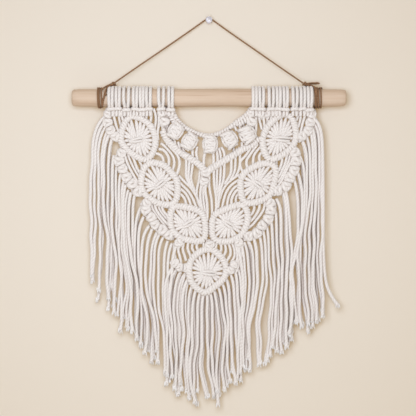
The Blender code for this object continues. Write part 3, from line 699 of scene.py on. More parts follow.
LEAVES = (
    # centre knot, slope of its crossing cords, their reach to each side, then the ring's line from its top
    ((-94.5, -161.5), 9, -14.5, 9.0,
     (-98, -130), (-88, -134), (-80.8, -139.5), (-75.3, -147), (-72.2, -155.5), (-71.5, -164),
     (-72.8, -172.5), (-76.5, -181), (-83, -187.5), (-91, -186), (-98, -182.3), (-105, -178), (-111, -172),
     (-115.7, -166), (-117.4, -158.5), (-116.2, -150.5), (-113.8, -142), (-110, -134.5), (-104.8, -129.8)),
    ((-65.3, -221.0), 38, -11.0, 11.0,
     (-78.5, -191.5), (-69, -192.7), (-60, -195.3), (-53.5, -201.5), (-48.5, -207), (-43.8, -212.5),
     (-42, -221), (-41.8, -230), (-43.5, -240), (-48.5, -247), (-57, -247.7), (-68, -245.5), (-77, -240.5),
     (-84, -235.5), (-88.7, -228), (-90.5, -218.5), (-89.5, -209), (-86.5, -199)),
    ((-28.0, -273.5), 30, -11.0, 11.0,
     (-47, -249.5), (-40, -250), (-33, -250.5), (-26, -251.8), (-19, -253.7), (-12, -257), (-7, -263.5),
     (-5, -274), (-4.8, -284.5), (-6.5, -293), (-14.5, -296.3), (-24, -295), (-35, -293), (-43, -288),
     (-49, -281), (-51.5, -271), (-51.3, -260)),
    ((93.5, -160.0), -4, -11.0, 17.5,
     (104, -126.5), (110.5, -132), (113.8, -140), (115.8, -150), (115.5, -160), (112, -168.5), (106, -175.5),
     (99, -180.5), (91, -185), (82, -187.3), (76.5, -182.5), (73.3, -174), (71.5, -164), (73.8, -153),
     (79, -142.5), (87.5, -133.5), (96, -128.3)),
    ((65.0, -220.5), -36, -11.0, 11.0,
     (75.5, -192.5), (86, -195), (89.3, -203), (88.3, -211), (87, -218.5), (84.8, -226), (82, -234),
     (76, -239), (69, -242.3), (59, -245), (49.5, -245.5), (44.2, -239), (42.6, -229.5), (42, -221),
     (43.2, -211.5), (48.8, -204.2), (55.5, -199.8), (62, -196)),
    ((25.5, -273.5), -33, -11.0, 11.0,
     (44, -247.5), (50, -254), (51.8, -265), (50.3, -273.5), (47.3, -281.5), (43, -288.2), (36.5, -293),
     (29, -295.8), (20, -296.6), (10, -295.5), (4.8, -289), (4.2, -279.5), (4.6, -268.5), (8.7, -260),
     (17, -255.8), (25, -252.3), (34, -249.5)),
    ((-1.5, -338.5), -4, -12.5, 13.0,
     (-1, -306.5), (6.5, -308.7), (15, -316), (21, -325), (22.8, -334), (21.5, -342.5), (16, -350),
     (10, -354.7), (4, -359.5), (-3.5, -364.6), (-11.5, -362.3), (-19, -356), (-24, -349), (-26, -339.5),
     (-26.2, -330), (-23, -320.5), (-16, -313.3), (-9, -308.8)),
)
RING_COIL = (2.6, 2.1)  # half width in the cloth's plane and half depth of the coil's centre line
RING_CORD = 2.4
RING_CORE = 2.2
HITCH_PITCH = 3.3
RAYS = 22
RAY_RINGS = 16
RAY_SHARES = (0, 0.1, 0.36, 1)  # of a ray's length, at which its radius is read
RAY_RADII = (1.9, 1.9, 2.65, 2.1)
CROSSING_RINGS = 22
CROSSING_SPAN = 0.8  # share of their reach that the crossing cords run
CROSSINGS = ((1.9, 0.06), (-1.9, -0.05))  # how far above the centre knot, and slope against it


def lift(points, y=CLOTH_Y):
    """(x, z) points as (x, y, z), with y one value or one for each point."""
    flat = np.asarray(points, float)
    return np.column_stack([flat[:, 0], np.broadcast_to(y, len(flat)), flat[:, 1]])


def coil(path, half_width, half_depth, pitch, closed, seed, sides=8, radius=RING_CORD):
    """Cord hitched round a line: a coil with the line as its axis, squashed to half_depth front to back.

    A point is line + half_width * sin(angle) * across - half_depth * cos(angle) * y, and its turns are a
    little uneven in width and in place.
    """
    rng = np.random.default_rng(seed)
    line = np.vstack([path, path[:1]]) if closed else path
    turns = max(int(round(np.linalg.norm(np.diff(line, axis=0), axis=1).sum() / pitch)), 2)
    count = turns * 12
    if closed:
        line = even_steps(line, count + 1)[:-1]
        along = unit(np.roll(line, -1, axis=0) - np.roll(line, 1, axis=0))
    else:
        line = even_steps(line, count)
        along = unit(np.gradient(line, axis=0))
    across = unit(np.cross(along, (0, 1.0, 0)))
    angle = 2 * math.pi * turns * np.arange(count) / count
    knots = np.arange(turns + 1)
    wide, slip = 1 + rng.uniform(-0.12, 0.12, turns + 1), rng.uniform(-0.4, 0.4, turns + 1)
    if closed:
        wide[-1], slip[-1] = wide[0], slip[0]
    at = angle / (2 * math.pi)
    wide, slip = np.interp(at, knots, wide)[:, None], np.interp(at, knots, slip)[:, None]
    sine, cosine = np.sin(angle)[:, None], np.cos(angle)[:, None]
    place = line + wide * (half_width * sine * across + half_depth * cosine * FORWARDS) + slip * along
    return cords(place, radius, sine * across + cosine * FORWARDS, sides, closed, lobe=0.06, seed=seed)


def arc(first, control, last, count):
    """A curve from first to last drawn towards control: (1-t)^2 first + 2t(1-t) control + t^2 last."""
    t = np.linspace(0, 1, count)[:, None]
    return (1 - t) ** 2 * first + 2 * t * (1 - t) * control + t**2 * last


def closed_line(points, count):
    """A smooth closed line through (x, z) points, read at count even steps of its length."""
    points = np.asarray(points, float)
    around = np.vstack([points[-3:], points, points[:3]])
    fine = smooth_path(around, 1200)
    begin = int(np.argmin(np.linalg.norm(fine[:400] - points[0], axis=1)))
    end = 800 + int(np.argmin(np.linalg.norm(fine[800:] - points[0], axis=1)))
    return even_steps(fine[begin : end + 1], count + 1)[:-1]


def ray(place, centre, across, up, rng):
    """One cord of a leaf, from a place on its ring to the crossing cords over its middle.

    Seen from the front, with aside and above the place's distances from the centre and side = above / 7 kept
    within -1 and 1, it bows towards (0.55 * aside, 0.42 * above + 2.4 * side) and ends at
    (0.25 * aside kept within -5 and 5, 1.2 * side). It comes forward on its way to the middle.
    """
    aside, above = (place - centre) @ across, (place - centre) @ up
    side = np.clip(above / 7.0, -1.0, 1.0)
    control = centre + across * aside * 0.55 + up * (above * 0.42 + side * 2.4)
    control = control + rng.uniform(-1.5, 1.5, 2)
    end = centre + across * np.clip(aside * 0.25, -5.0, 5.0) + up * side * 1.2
    near = CLOTH_Y + 0.4 + rng.uniform(-0.5, 0.5)
    far = CLOTH_Y - 1.7 + rng.uniform(-1.2, 0.7)
    return lift(arc(place, control, end, RAY_RINGS), np.linspace(near, far, RAY_RINGS))


def crossing(centre, across, up, reach_left, reach_right, level, tilt):
    """One of the two cords over a leaf's rays, bent towards the other at its ends.

    Its height is level + tilt * t - 0.4 * level * share ** 2, and it stands 4.9 - 3.6 * |share| ** 3 before
    the cloth, with t the distance from the middle and share that distance as a part of the run on its side.
    """
    t = CROSSING_SPAN * np.linspace(reach_left, reach_right, CROSSING_RINGS)[:, None]
    share = t / (CROSSING_SPAN * np.where(t < 0, -reach_left, reach_right))
    flat = centre + across * t + up * (level + tilt * t - 0.4 * level * share**2)
    return lift(flat, CLOTH_Y - 4.9 + 3.6 * np.abs(share[:, 0]) ** 3)


rings, rays = [], []
thick = np.interp(np.linspace(0, 1, RAY_RINGS), RAY_SHARES, RAY_RADII)
for index, (middle, slope, reach_left, reach_right, *ring) in enumerate(LEAVES):
    line = lift(closed_line(ring, 300), CLOTH_Y - 0.8)
    rings.append(coil(line, *RING_COIL, HITCH_PITCH, True, 20 + index))
    rings.append(cotton_shell(line[::4], RING_CORE, closed=True, seed=30 + index))
    centre = np.array(middle)
    slope = math.radians(slope)
    across = np.array([math.cos(slope), math.sin(slope)])
    up = np.array([-math.sin(slope), math.cos(slope)])
    rng = np.random.default_rng(40 + index)
    made = [ray(place, centre, across, up, rng) for place in closed_line(ring, RAYS)]
    rays.append(cotton_shell(np.array(made), thick, seed=50 + index))
    made = [crossing(centre, across, up, reach_left, reach_right, *cord) for cord in CROSSINGS]
    rays.append(cotton_shell(np.array(made), seed=60 + index))

piece("macrame_leaf_rings", rings, cotton, "macrame")
piece("macrame_leaf_cords", rays, cotton, "macrame")

# Bars: the neckline and the two arms of the V, hitched over a core. The neckline is thinner than the leaves'
# rings and the arms are a little broader.

BARS = (
    # points, half width of the coil, its half depth, pitch, cord radius
    (((-49.8, -118), (-47.6, -125), (-43.8, -132.5), (-38, -139.5), (-30, -145.8), (-21, -150.4),
      (-12, -154), (-3, -155.6), (6, -155), (14, -152.6), (22, -148.8), (30, -143), (37, -137.3),
      (44, -132.3), (50, -127.7), (54.5, -122.5), (57.5, -117)), 1.5, 1.8, 3.7, 2.2),
    (((-62, -148), (-58.5, -155.5), (-52, -164), (-45, -172), (-37, -178.7), (-28, -184.2), (-19, -189.7),
      (-12, -195), (-7.5, -200), (-5.5, -206)), 2.9, 2.2, 3.5, 2.4),
    (((67, -158), (62, -164), (55, -169.3), (47, -172.8), (40, -176.6), (33, -181.3), (26, -185.5),
      (18, -190.5), (10, -195), (3, -199.5), (-3, -205)), 2.9, 2.2, 3.5, 2.4),
    (((-53.5, -123), (-50.5, -130), (-46.5, -137), (-41, -143)), 2.3, 1.9, 3.9, 2.2),
    (((38, -142.5), (42.5, -139.5), (48, -135.5), (54, -131), (59.5, -125)), 2.5, 1.9, 3.9, 2.2),
)
BAR_CORE = 1.9

bars = []
for index, (points, half_width, half_depth, pitch, radius) in enumerate(BARS):
    line = lift(smooth_path(points, 200), CLOTH_Y - 0.6)
    bars.append(coil(line, half_width, half_depth, pitch, False, 70 + index, radius=radius))
    bars.append(cotton_shell(line[::4], BAR_CORE, seed=75 + index))

piece("macrame_bars", bars, cotton, "macrame")

# Berry knots: five fat balls under the neckline, each a short plait of square knots rolled up on itself, so
# that rows of crossing cord show on its front.

BERRIES = (
    # x, z, width, height, lean
    (-44.4, -149.4, 18.4, 20.5, 34), (-26.0, -163.6, 18.8, 21.0, 33), (1.6, -167.0, 18.4, 22.0, 0),
    (27.6, -160.6, 19.0, 21.0, -32), (51.4, -154.4, 20.5, 21.0, -28),
)
BERRY_TURNS = (
    # share of the height, half width as a share of the width, how far its one side is above the middle
    (-0.40, 0.37, 1.8), (-0.24, 0.41, -1.8), (-0.08, 0.43, 2.0),
    (0.08, 0.43, -2.0), (0.24, 0.41, 1.8), (0.40, 0.37, -1.8),
)
BERRY_CORD, BERRY_CORE, BERRY_BIGHT = 2.55, 2.1, 1.9
BERRY_PEGS = (-6.0, -2.0, 2.0, 6.0)  # where the four core cords run, across the ball
# a bight at the ball's side: share of its height, how far beyond its side, y
BERRY_SIDE = ((-0.34, -1.6, -1.0), (-0.2, 0.2, -2.6), (0.0, 0.8, -3.0), (0.2, 0.2, -2.6), (0.34, -1.6, -1.0))


def knot_frame(x, z, lean):
    """The centre of a knot, the direction of its axis and the direction across it, in the cloth's plane."""
    lean = math.radians(lean)
    return (np.array([x, CLOTH_Y, z]), np.array([math.sin(lean), 0, math.cos(lean)]),
            np.array([math.cos(lean), 0, -math.sin(lean)]))


def loops(centre, axis, across, levels, half_widths, half_depths, tilts, count=20):
    """Closed turns round a knot's axis, one for each level along it.

    A point is centre + (level + tilt * cos(angle)) * axis + half_width * cos(angle) ** 0.8 * across
    + half_depth * sin(angle) towards the front.
    """
    angle = np.linspace(0, 2 * math.pi, count, endpoint=False)
    c, s = np.cos(angle), np.sin(angle)
    wide = np.sign(c) * np.abs(c) ** 0.8
    rows = []
    for level, half, deep, tilt in zip(levels, half_widths, half_depths, tilts):
        rows.append(centre + (level + tilt * c)[:, None] * axis + (half * wide)[:, None] * across
                    + (deep * s)[:, None] * FORWARDS)
    return np.array(rows)


berries = []
for index, (x, z, width, height, lean) in enumerate(BERRIES):
    centre, axis, across = knot_frame(x, z, lean)
    centre = centre + np.array([0, -1.5, 0])
    rng = np.random.default_rng(80 + index)
    levels, halves, tilts = np.array(BERRY_TURNS).T
    halves = halves * width * rng.uniform(0.96, 1.04, 6)
    tilts = tilts * rng.uniform(0.6, 1.2, 6)
    depths = halves * 0.8 + rng.uniform(-0.7, 0.7, 6)
    rows = loops(centre, axis, across, levels * height, halves, depths, tilts, 24)
    berries.append(cotton_shell(rows, BERRY_CORD, radial(rows, centre, axis), 10, True, seed=80 + index))
    core = [smooth_path([centre + axis * s * height * 0.53 + across * peg * (1 - 0.3 * abs(s))
                         + np.array([0, -abs(1 - s * s) * 3.6 - 2.0, 0]) for s in (-1, -0.5, 0, 0.5, 1)], 14)
            for peg in BERRY_PEGS]
    berries.append(cotton_shell(np.array(core), BERRY_CORE, seed=90 + index))
    sides = [smooth_path([centre + axis * (level * height) + across * hand * (width * 0.44 + beyond)
                          + np.array([0, y, 0]) for level, beyond, y in BERRY_SIDE], 14) for hand in (-1, 1)]
    berries.append(cotton_shell(np.array(sides), BERRY_BIGHT, seed=95 + index))

piece("macrame_berry_knots", berries, cotton, "macrame")

# Sinnets: chains of square knots down the two sides, and single square knots where the cords of the leaves,
# the neckline and the V are tied together. Each is two crossings of opposite slant with a bight at each side.

SINNETS = (
    # knots, width, points
    (4, 11.5, (-134, -121.5), (-134.8, -132), (-133, -143), (-128.5, -153), (-119.5, -160)),
    (6, 12.5, (-113, -175), (-119.8, -182), (-118, -194), (-112.3, -206), (-105.8, -217), (-99, -226),
     (-89, -231)),
    (6, 12.0, (-78, -243), (-86, -248), (-80.5, -259), (-73.5, -270), (-66, -279), (-57.5, -286),
     (-48, -290)),
    (4, 11.5, (135, -121.5), (136, -132), (134, -143), (129, -153.5), (119.5, -160)),
    (6, 12.5, (110, -174.5), (117, -182.5), (115.2, -194), (111, -206), (105.7, -217), (98, -227),
     (86.5, -232)),
    (6, 12.0, (76.5, -243), (84.5, -248.5), (81.5, -259), (75.8, -270), (67, -281), (57.5, -288.5),
     (47.5, -291)),
    (3, 11.0, (-49.5, -324), (-42, -328.5), (-34, -331.5), (-26, -334)),
    (2, 10.0, (36, -324), (31.5, -331), (26, -338.5)),
)
KNOTS = (
    # x, z, width, height, lean, square knots in it
    (-61.8, -125.5, 11.0, 11.5, 0, 1), (-52.5, -124.5, 10.0, 10.5, 8, 1), (-58.8, -137.5, 12.0, 12.0, -6, 1),
    (67.0, -125.5, 12.5, 11.0, 0, 1), (78.3, -126.0, 10.0, 10.5, 8, 1), (56.3, -126.5, 9.5, 11.0, -14, 1),
    (58.0, -138.5, 12.5, 12.0, 6, 1), (-5.3, -211.0, 12.0, 21.0, 0, 2), (0.0, -301.3, 12.0, 10.0, 0, 1),
    (-40.0, -298.5, 10.5, 11.0, 30, 1), (39.5, -298.5, 10.5, 11.0, -30, 1),
)


KNOT_TURN = 0.17  # the most that a knot is turned out of its line, in radians
KNOT_CORD = 0.27  # a crossing's radius as a share of the knot's height
KNOT_BIGHT_CORD, KNOT_CORE_CORD = 2.2, 1.85
# a bight beside a knot, and a core cord through it: share of the height, (how far beyond the side,) y
KNOT_BIGHT = ((0.36, -2.0, -0.6), (0.16, 0.4, -2.2), (-0.16, 0.4, -2.2), (-0.36, -2.0, -0.6))
KNOT_CORE = ((-0.66, 0.4), (-0.5, -0.8), (0.0, -2.6), (0.5, -0.8), (0.66, 0.4))


def square_knot(centre, axis, across, width, height, flip, seed):
    """One square knot: two crossings of opposite slant, a bight at each side and four core cords."""
    rng = np.random.default_rng(seed)
    turn = rng.uniform(-KNOT_TURN, KNOT_TURN)
    axis, across = (axis * math.cos(turn) + across * math.sin(turn),
                    across * math.cos(turn) - axis * math.sin(turn))
    centre = centre + axis * rng.uniform(-0.5, 0.5) + across * rng.uniform(-0.7, 0.7)
    half = width * rng.uniform(0.92, 1.08) / 2 - CORD_RADIUS
    tilt = 0.12 * height * flip
    rows = loops(centre, axis, across, np.array([0.23, -0.23]) * height, [half + 0.1, half - 0.3],
                 np.array([3.3, 3.0]) + rng.uniform(-0.4, 0.4, 2), [tilt, -tilt])
    shells = [cotton_shell(rows, height * KNOT_CORD, radial(rows, centre, axis), 8, True, seed=seed)]
    bights = [smooth_path([centre + axis * height * level + across * hand * (half + reach + out)
                           + np.array([0, y, 0]) for level, out, y in KNOT_BIGHT], 10)
              for hand, reach in ((flip, 0.7), (-flip, -0.4))]
    shells.append(cotton_shell(np.array(bights), KNOT_BIGHT_CORD, sides=8, seed=seed + 1))
    core = [smooth_path([centre + axis * height * level + across * (share * half + rng.uniform(-0.3, 0.3))
                         + np.array([0, y, 0]) for level, y in KNOT_CORE], 10)
            for share in (-0.78, -0.27, 0.27, 0.78)]
    shells.append(cotton_shell(np.array(core), KNOT_CORE_CORD, sides=8, seed=seed + 2))
    return shells


sinnets = []
number = 0
for count, width, *points in SINNETS:
    line = smooth_path(points, 2 * count + 1)
    for place, before, after in zip(line[1::2], line[0::2], line[2::2]):
        centre = np.array([place[0], CLOTH_Y, place[1]])
        run = before - after
        axis = unit(np.array([run[0], 0, run[1]]))
        across = np.array([axis[2], 0, -axis[0]])
        sinnets += square_knot(centre, axis, across, width, np.linalg.norm(run) * 1.06, (-1) ** number,
                               100 + number)
        number += 3
for x, z, width, height, lean, parts in KNOTS:
    centre, axis, across = knot_frame(x, z, lean)
    for part in range(parts):
        shift = ((parts - 1) / 2 - part) * height / parts
        sinnets += square_knot(centre + axis * shift, axis, across, width, height / parts, (-1) ** number,
                               100 + number)
        number += 3

piece("macrame_square_knots", sinnets, cotton, "macrame")

# Loose cords: single cords that run from knot to knot, in bows and fans.

RUNS = (
    # cords, the line of the first one, the line of the last one if there are more
    # under the lark's heads of the left side
    (2, ((-126.6, -121), (-126.5, -131), (-124.5, -140), (-121.8, -148), (-117.5, -157)),
     ((-119.8, -121), (-120, -131), (-118.3, -140), (-115.5, -148))),
    (2, ((-115.7, -121), (-115.5, -130), (-113, -138)), ((-108.7, -121), (-108.5, -127), (-107, -132))),
    (4, ((-104, -121), (-104, -129)), ((-91, -121), (-90.3, -127), (-90, -133))),
    (2, ((-90, -119.5), (-84.6, -124), (-83.2, -130.5), (-84, -138)),
     ((-81, -119.5), (-77.3, -124), (-76.9, -130.5), (-78.5, -139))),
    (2, ((-73.5, -120), (-71, -128), (-70.8, -137), (-72.7, -147)),
     ((-66.8, -120), (-66.2, -130), (-66.4, -141), (-68.3, -152), (-68, -161))),
    (2, ((-62, -142), (-61.2, -150), (-60, -157)), ((-56, -143), (-58, -150), (-57, -157))),
    # and of the right side
    (2, ((62.5, -131), (62.8, -141), (62, -151), (60, -161)), ((55, -143), (57, -151), (58, -160))),
    (4, ((66.5, -130), (67.8, -137), (70.6, -147)), ((83.4, -120), (83.4, -129), (82, -137))),
    (3, ((88, -120), (87.7, -131)), ((99, -120), (99, -127))),
    (3, ((105, -120), (105, -126)), ((118.2, -120), (118.3, -129), (115.5, -138))),
    (2, ((122.4, -120), (122.1, -131), (120.2, -140), (117.5, -148)),
     ((128.9, -120), (127.5, -131), (124.9, -141), (122.6, -150), (118, -159))),
    # round the eyes between the first and the second leaves
    (3, ((-61, -158), (-52.5, -170), (-44, -179.5), (-40.2, -187), (-39.6, -196), (-43, -208)),
     ((-67, -173.5), (-62, -174), (-56.8, -178.5), (-53.8, -184.5), (-53.3, -191), (-55, -199))),
    (1, ((-72, -178.5), (-65, -181), (-61.3, -186), (-60.5, -195))),
    (3, ((61.5, -163), (54.5, -174), (49.3, -182), (42.3, -190), (42.5, -198), (47, -206)),
     ((69, -170), (62, -178), (59, -184), (58.7, -190), (59, -198))),
    (1, ((72, -177), (68, -181), (67.2, -186), (68.5, -194))),
    # from one leaf to the next down the outer side
    (2, ((-113, -179), (-109.6, -190), (-105.4, -199.5), (-99.6, -210), (-94, -219), (-89, -228)),
     ((-108.5, -180), (-105.3, -189), (-101, -198.5), (-96, -207), (-90, -215))),
    (2, ((-102, -182), (-98.5, -191), (-95, -200), (-90, -208)), ((-95.5, -184), (-92, -191), (-88.5, -198))),
    (3, ((112.5, -181), (110, -190), (105.3, -199), (101.4, -207.5), (97, -216.5), (91, -223.5), (86, -226)),
     ((104.3, -180), (101.5, -192), (97.6, -201), (93.5, -209), (88, -215))),
    (2, ((97.6, -183), (97.4, -191), (94.5, -200), (89.5, -207)), ((90.3, -186), (89.5, -195))),
    (4, ((-77, -243), (-75.3, -253), (-70, -261.5), (-63.5, -270), (-56.5, -278), (-50, -285)),
     ((-63.5, -247), (-61, -255.5), (-55.5, -262), (-50, -267))),
    (3, ((74.5, -243), (73.5, -253), (69.5, -260), (64.3, -267), (58.5, -274), (52, -279)),
     ((60.5, -245), (59.8, -254), (57, -260), (52, -265))),
    # from one leaf to the next down the inner side
    (4, ((-40, -209), (-33, -216.5), (-24.5, -224.5), (-17.5, -235), (-12.5, -246), (-8, -258)),
     ((-42, -231), (-36, -235), (-32, -241), (-30, -251))),
    (4, ((40.5, -207.5), (31, -214), (23, -221.5), (17.6, -231), (14, -242), (9.5, -257)),
     ((43, -226), (36.8, -229), (32.2, -236), (30.3, -243), (31, -252))),
    (1, ((43, -233), (38, -234.5), (35.5, -240), (36.5, -249))),
    # hanging from the arms of the V and fanning from its knot
    (3, ((-30.3, -184), (-30.3, -200), (-29.8, -212), (-24, -223)),
     ((-20.8, -188), (-22.5, -202), (-23.4, -214), (-19, -230))),
    (3, ((-11.8, -202), (-13, -216), (-15.7, -227), (-15.5, -239), (-11, -254)),
     ((-6.5, -216), (-7.2, -229), (-6.8, -241), (-5.2, -253), (-4, -266))),
    (2, ((-5, -216), (-4.9, -230), (-3, -243), (-2.2, -254), (-2.4, -268)),
     ((0.8, -202), (0.4, -219), (1.8, -231), (3.9, -243), (4.6, -266))),
    (4, ((6.5, -194), (6.3, -212), (7.3, -226), (9.3, -240), (9.5, -258)),
     ((20.5, -188), (20.3, -205), (18.7, -217), (14.5, -231), (12, -252))),
    (3, ((29.6, -183), (29.5, -199), (28, -208), (21, -220)),
     ((41.2, -176), (41.2, -192), (39.4, -202), (35, -211))),
    # from the neckline to the outer berries, and from the berries to the arms of the V
    (3, ((-46, -132), (-48, -142)), ((-33, -142), (-37, -148))),
    (4, ((33, -140), (37, -149)), ((50, -128), (52, -144))),
    (4, ((-55, -158), (-56, -168)), ((-41, -164), (-37, -178))),
    (3, ((44, -164), (44, -176)), ((60, -160), (60, -170))),
    (2, ((-36, -168), (-32, -180)), ((-22, -172), (-21.8, -180), (-20.5, -190))),
    (1, ((-16, -170), (-16.6, -180), (-14.5, -192)), ((0, 0), (1, 1))),
    (1, ((-3, -174), (-6.8, -184), (-7.2, -198)), ((0, 0), (1, 1))),
    (4, ((5.2, -174), (6.6, -184), (6.4, -197)), ((16.5, -171), (19.8, -178), (21, -190))),
    (1, ((32, -170), (33.5, -180)), ((0, 0), (1, 1))),
    # round the joint between the lower leaves and the bottom one
    (6, ((-46, -299), (-47, -309), (-45, -319), (-44, -329)), ((-15.5, -297), (-16, -305), (-10, -312))),
    (1, ((-8, -297), (-6.5, -306)), ((0, 0), (1, 1))),
    (5, ((10, -297), (9.4, -305), (6, -311)),
     ((29.6, -296), (34, -307), (34.4, -317), (29.5, -326), (26, -336))),
    (3, ((35, -299), (37.8, -310), (37.8, -321), (33, -332)),
     ((44, -298), (44.5, -312), (41, -326), (36, -338))),
)
RUN_RADIUS = 2.05
RUN_RINGS = 28
FORWARD = 4.6  # how much further forward a cord starts where it leaves its lark's head under the rod

runs = []
rng = np.random.default_rng(7)
for count, *lines in RUNS:
    share = np.linspace(0, 1, count)[:, None, None]
    flat = smooth_path(lines[0], RUN_RINGS) * (1 - share) + smooth_path(lines[-1], RUN_RINGS) * share
    bow = np.sin(np.linspace(0, math.pi, RUN_RINGS))[None, :, None]
    flat = flat + rng.uniform(-0.45, 0.45, (count, 1, 2)) * bow
    beneath = np.clip(1 + (flat[..., 1] + 121) / 16, 0, 1)  # 1 right under the rod, 0 from 16 mm further down
    depth = CLOTH_Y + rng.uniform(-1.2, 0.8, (count, 1)) - FORWARD * beneath
    runs.append(np.concatenate([flat[..., :1], depth[..., None], flat[..., 1:]], axis=-1))
loose = cotton_shell(np.concatenate(runs), RUN_RADIUS, seed=8)
piece("macrame_loose_cords", [loose], cotton, "macrame")

# The fringe: the cords' own ends, let down from the sides of the sinnets and the foot of the bottom leaf and
# trimmed to a V. They hang a little wavy, cross here and there, and their tips have begun to fray.

FRINGES = (
    # node, how far behind the cloth the roots start, how far a pair's strands hang apart, the share of pairs
    # with a strand behind, the width that a strand settles into lower down, how unevenly the pairs settle,
    # runs of pairs that hang evenly lower down (pairs, first and last x), then for each pair of strands:
    # where it hangs at first, its root's x and its root's z
    ("fringe_left", 0.0, 1.0, 0.5, 5.6, 0.6, ((24, -153.5, -50),), (
        (-157, -136.5, -128), (-152.5, -136, -134), (-148, -135, -140), (-144, -133.5, -146),
        (-140.5, -132, -152), (-134.5, -129, -158), (-129.3, -127, -182), (-125.6, -123, -195),
        (-122, -118, -207), (-118, -114, -216), (-115.7, -111, -221), (-111.5, -107.5, -228),
        (-107.5, -104, -231.5), (-103.5, -99, -234), (-99.5, -90.3, -250), (-95, -87, -264),
        (-89.3, -79.5, -276), (-84, -75.5, -280), (-78.7, -69.5, -284.5), (-73.5, -66, -287.5),
        (-68, -61, -291), (-61.5, -55, -296), (-56, -49.5, -299.5), (-50.5, -44, -303))),
    ("fringe_right", 0.0, 1.0, 0.55, 5.4, 0.6, ((15, 150, 79.5), (7, 68, 42)), (
        (152, 138.5, -129), (147.5, 138, -136), (143.5, 137, -143), (140, 135.5, -150), (135.5, 130.5, -157),
        (131, 125, -163), (127.5, 120.5, -182), (124, 117.5, -203), (119, 113, -213), (107, 102, -229),
        (103, 99, -231.5), (97, 89.5, -240), (92, 87.5, -251), (86.5, 82.5, -266), (81, 76.5, -275),
        (76, 71.5, -280), (70.5, 66, -285), (65, 58.5, -290), (59.5, 51.5, -294), (54, 47, -297.5),
        (49, 43, -300.5), (44, 38, -303))),
    ("fringe_bottom", 2.0, 3.2, 1.0, 0.0, 1.7, ((9, -53, -8.5), (9, 1.5, 46)), (
        (-57, -46, -328), (-51.5, -41.5, -331), (-46, -36.5, -334), (-40, -31, -338), (-34, -26, -344),
        (-28, -20.5, -350.5), (-21.5, -15, -355.5), (-14.5, -10, -359), (-8.5, -6.5, -361.5),
        (1, -3.5, -361.5), (7, 0, -360.5), (13, 5, -357), (19, 10, -353), (25, 15, -348), (31, 21, -342.5),
        (36.5, 27, -337), (42, 33, -332.5), (47, 38, -329))),
)
HEM = ((-158, -336), (-148, -357), (-138, -388), (-104, -429), (-82, -456), (-65, -470), (-48, -491),
       (-37, -503), (-20, -509), (-5, -512), (6, -509), (20, -492), (44, -474), (62, -462), (80, -457),
       (104, -437), (115, -421), (127, -413), (142, -408), (153, -391))
STRAY = ((139, -132), (146.5, -142), (150.8, -165), (152, -230), (152.3, -308), (155.2, -347),
         (161.3, -365.5), (171.5, -381.5))  # one strand that curls away at the right
RINGS = 120
STRAND_RADIUS = 2.25
FLARE, FLARE_SHARE = 0.22, 0.035  # how much a strand opens at its tip, and over which share of its length
LAYER = 2.3
LAYER_SHARES = (0.25, 1.3)  # of LAYER, between which a strand hangs before or behind the middle
BESIDE_SHARES = (0.36, 0.68)  # of a pair's distance apart, between which each strand hangs to its side
SPREAD_DROP = 14.0  # a strand is two thirds of the way to where it hangs after falling this far
SETTLE_DROP, SETTLE_RUN = 35.0, 110.0  # it then settles, from this drop on and over this much more
SETTLED_ERROR = 0.45
STACK_STEP = 2.6  # how much further back a pair hangs where the one before has taken its place
PAIR_STEP = 1.8  # every other pair hangs this much further back, once it has settled
FRAY_HAIRS = 12  # at each tip
FRAY_LENGTH = 6.5
FRAY_RADII = 1.1 * (1 - 0.65 * np.linspace(0, 1, 5))  # from its root to its tip
FRAY_REACH = 3.0  # how much further down than its strand the tip reaches
TRIM_ERROR = 6.0
TUFT_COLOUR = (0.88, 0.85, 0.815, 1.0)  # loosened fibres let the light through, so that the tips stay pale

tuft = yarn_material("cotton_tuft", TUFT_COLOUR, TUFT_COLOUR, TUFT_COLOUR, 3, 10.0, 0.0001, 0.9, 1.0)


def sway(drop, hang, length, rng):
    """Sideways wander of hanging cords: sines of the drop whose phase drifts from one cord to the next.

    The wander is sum of size * sin(2 pi * drop / wave + phase(hang)) plus a draw towards or away from the
    neighbours. It grows over the first 0.42 of the length, and each tip turns aside by
    tip * (drop / length) ** 4.
    """
    marks = np.arange(hang.min() - 9, hang.max() + 18, 9.0)
    draw = [np.interp(hang, marks, rng.normal(0, 1.3, len(marks)))[:, None] for _ in range(2)]
    made = draw[0] + (draw[1] - draw[0]) * drop / 220.0
    grown = 0.42 * length[:, None]
    for wave, reach in ((150.0, 1.3), (82.0, 0.8), (40.0, 0.35)):
        phase = np.interp(hang, marks, np.cumsum(rng.normal(0, 0.9, len(marks))) + rng.uniform(0, 6))
        phase = phase + np.repeat(rng.uniform(-0.4, 0.4, len(hang) // 2), 2)
        phase = phase + rng.uniform(-0.35, 0.35, len(hang))
        size = reach * np.repeat(rng.uniform(0.5, 1.4, len(hang) // 2), 2)
        made = made + size[:, None] * np.sin(2 * math.pi * drop / wave + phase[:, None])
    tip = rng.normal(0, 4.0, (len(hang), 1))
    return made * np.clip(drop / grown, 0.05, 1.2) + tip * (drop / length[:, None]) ** 4


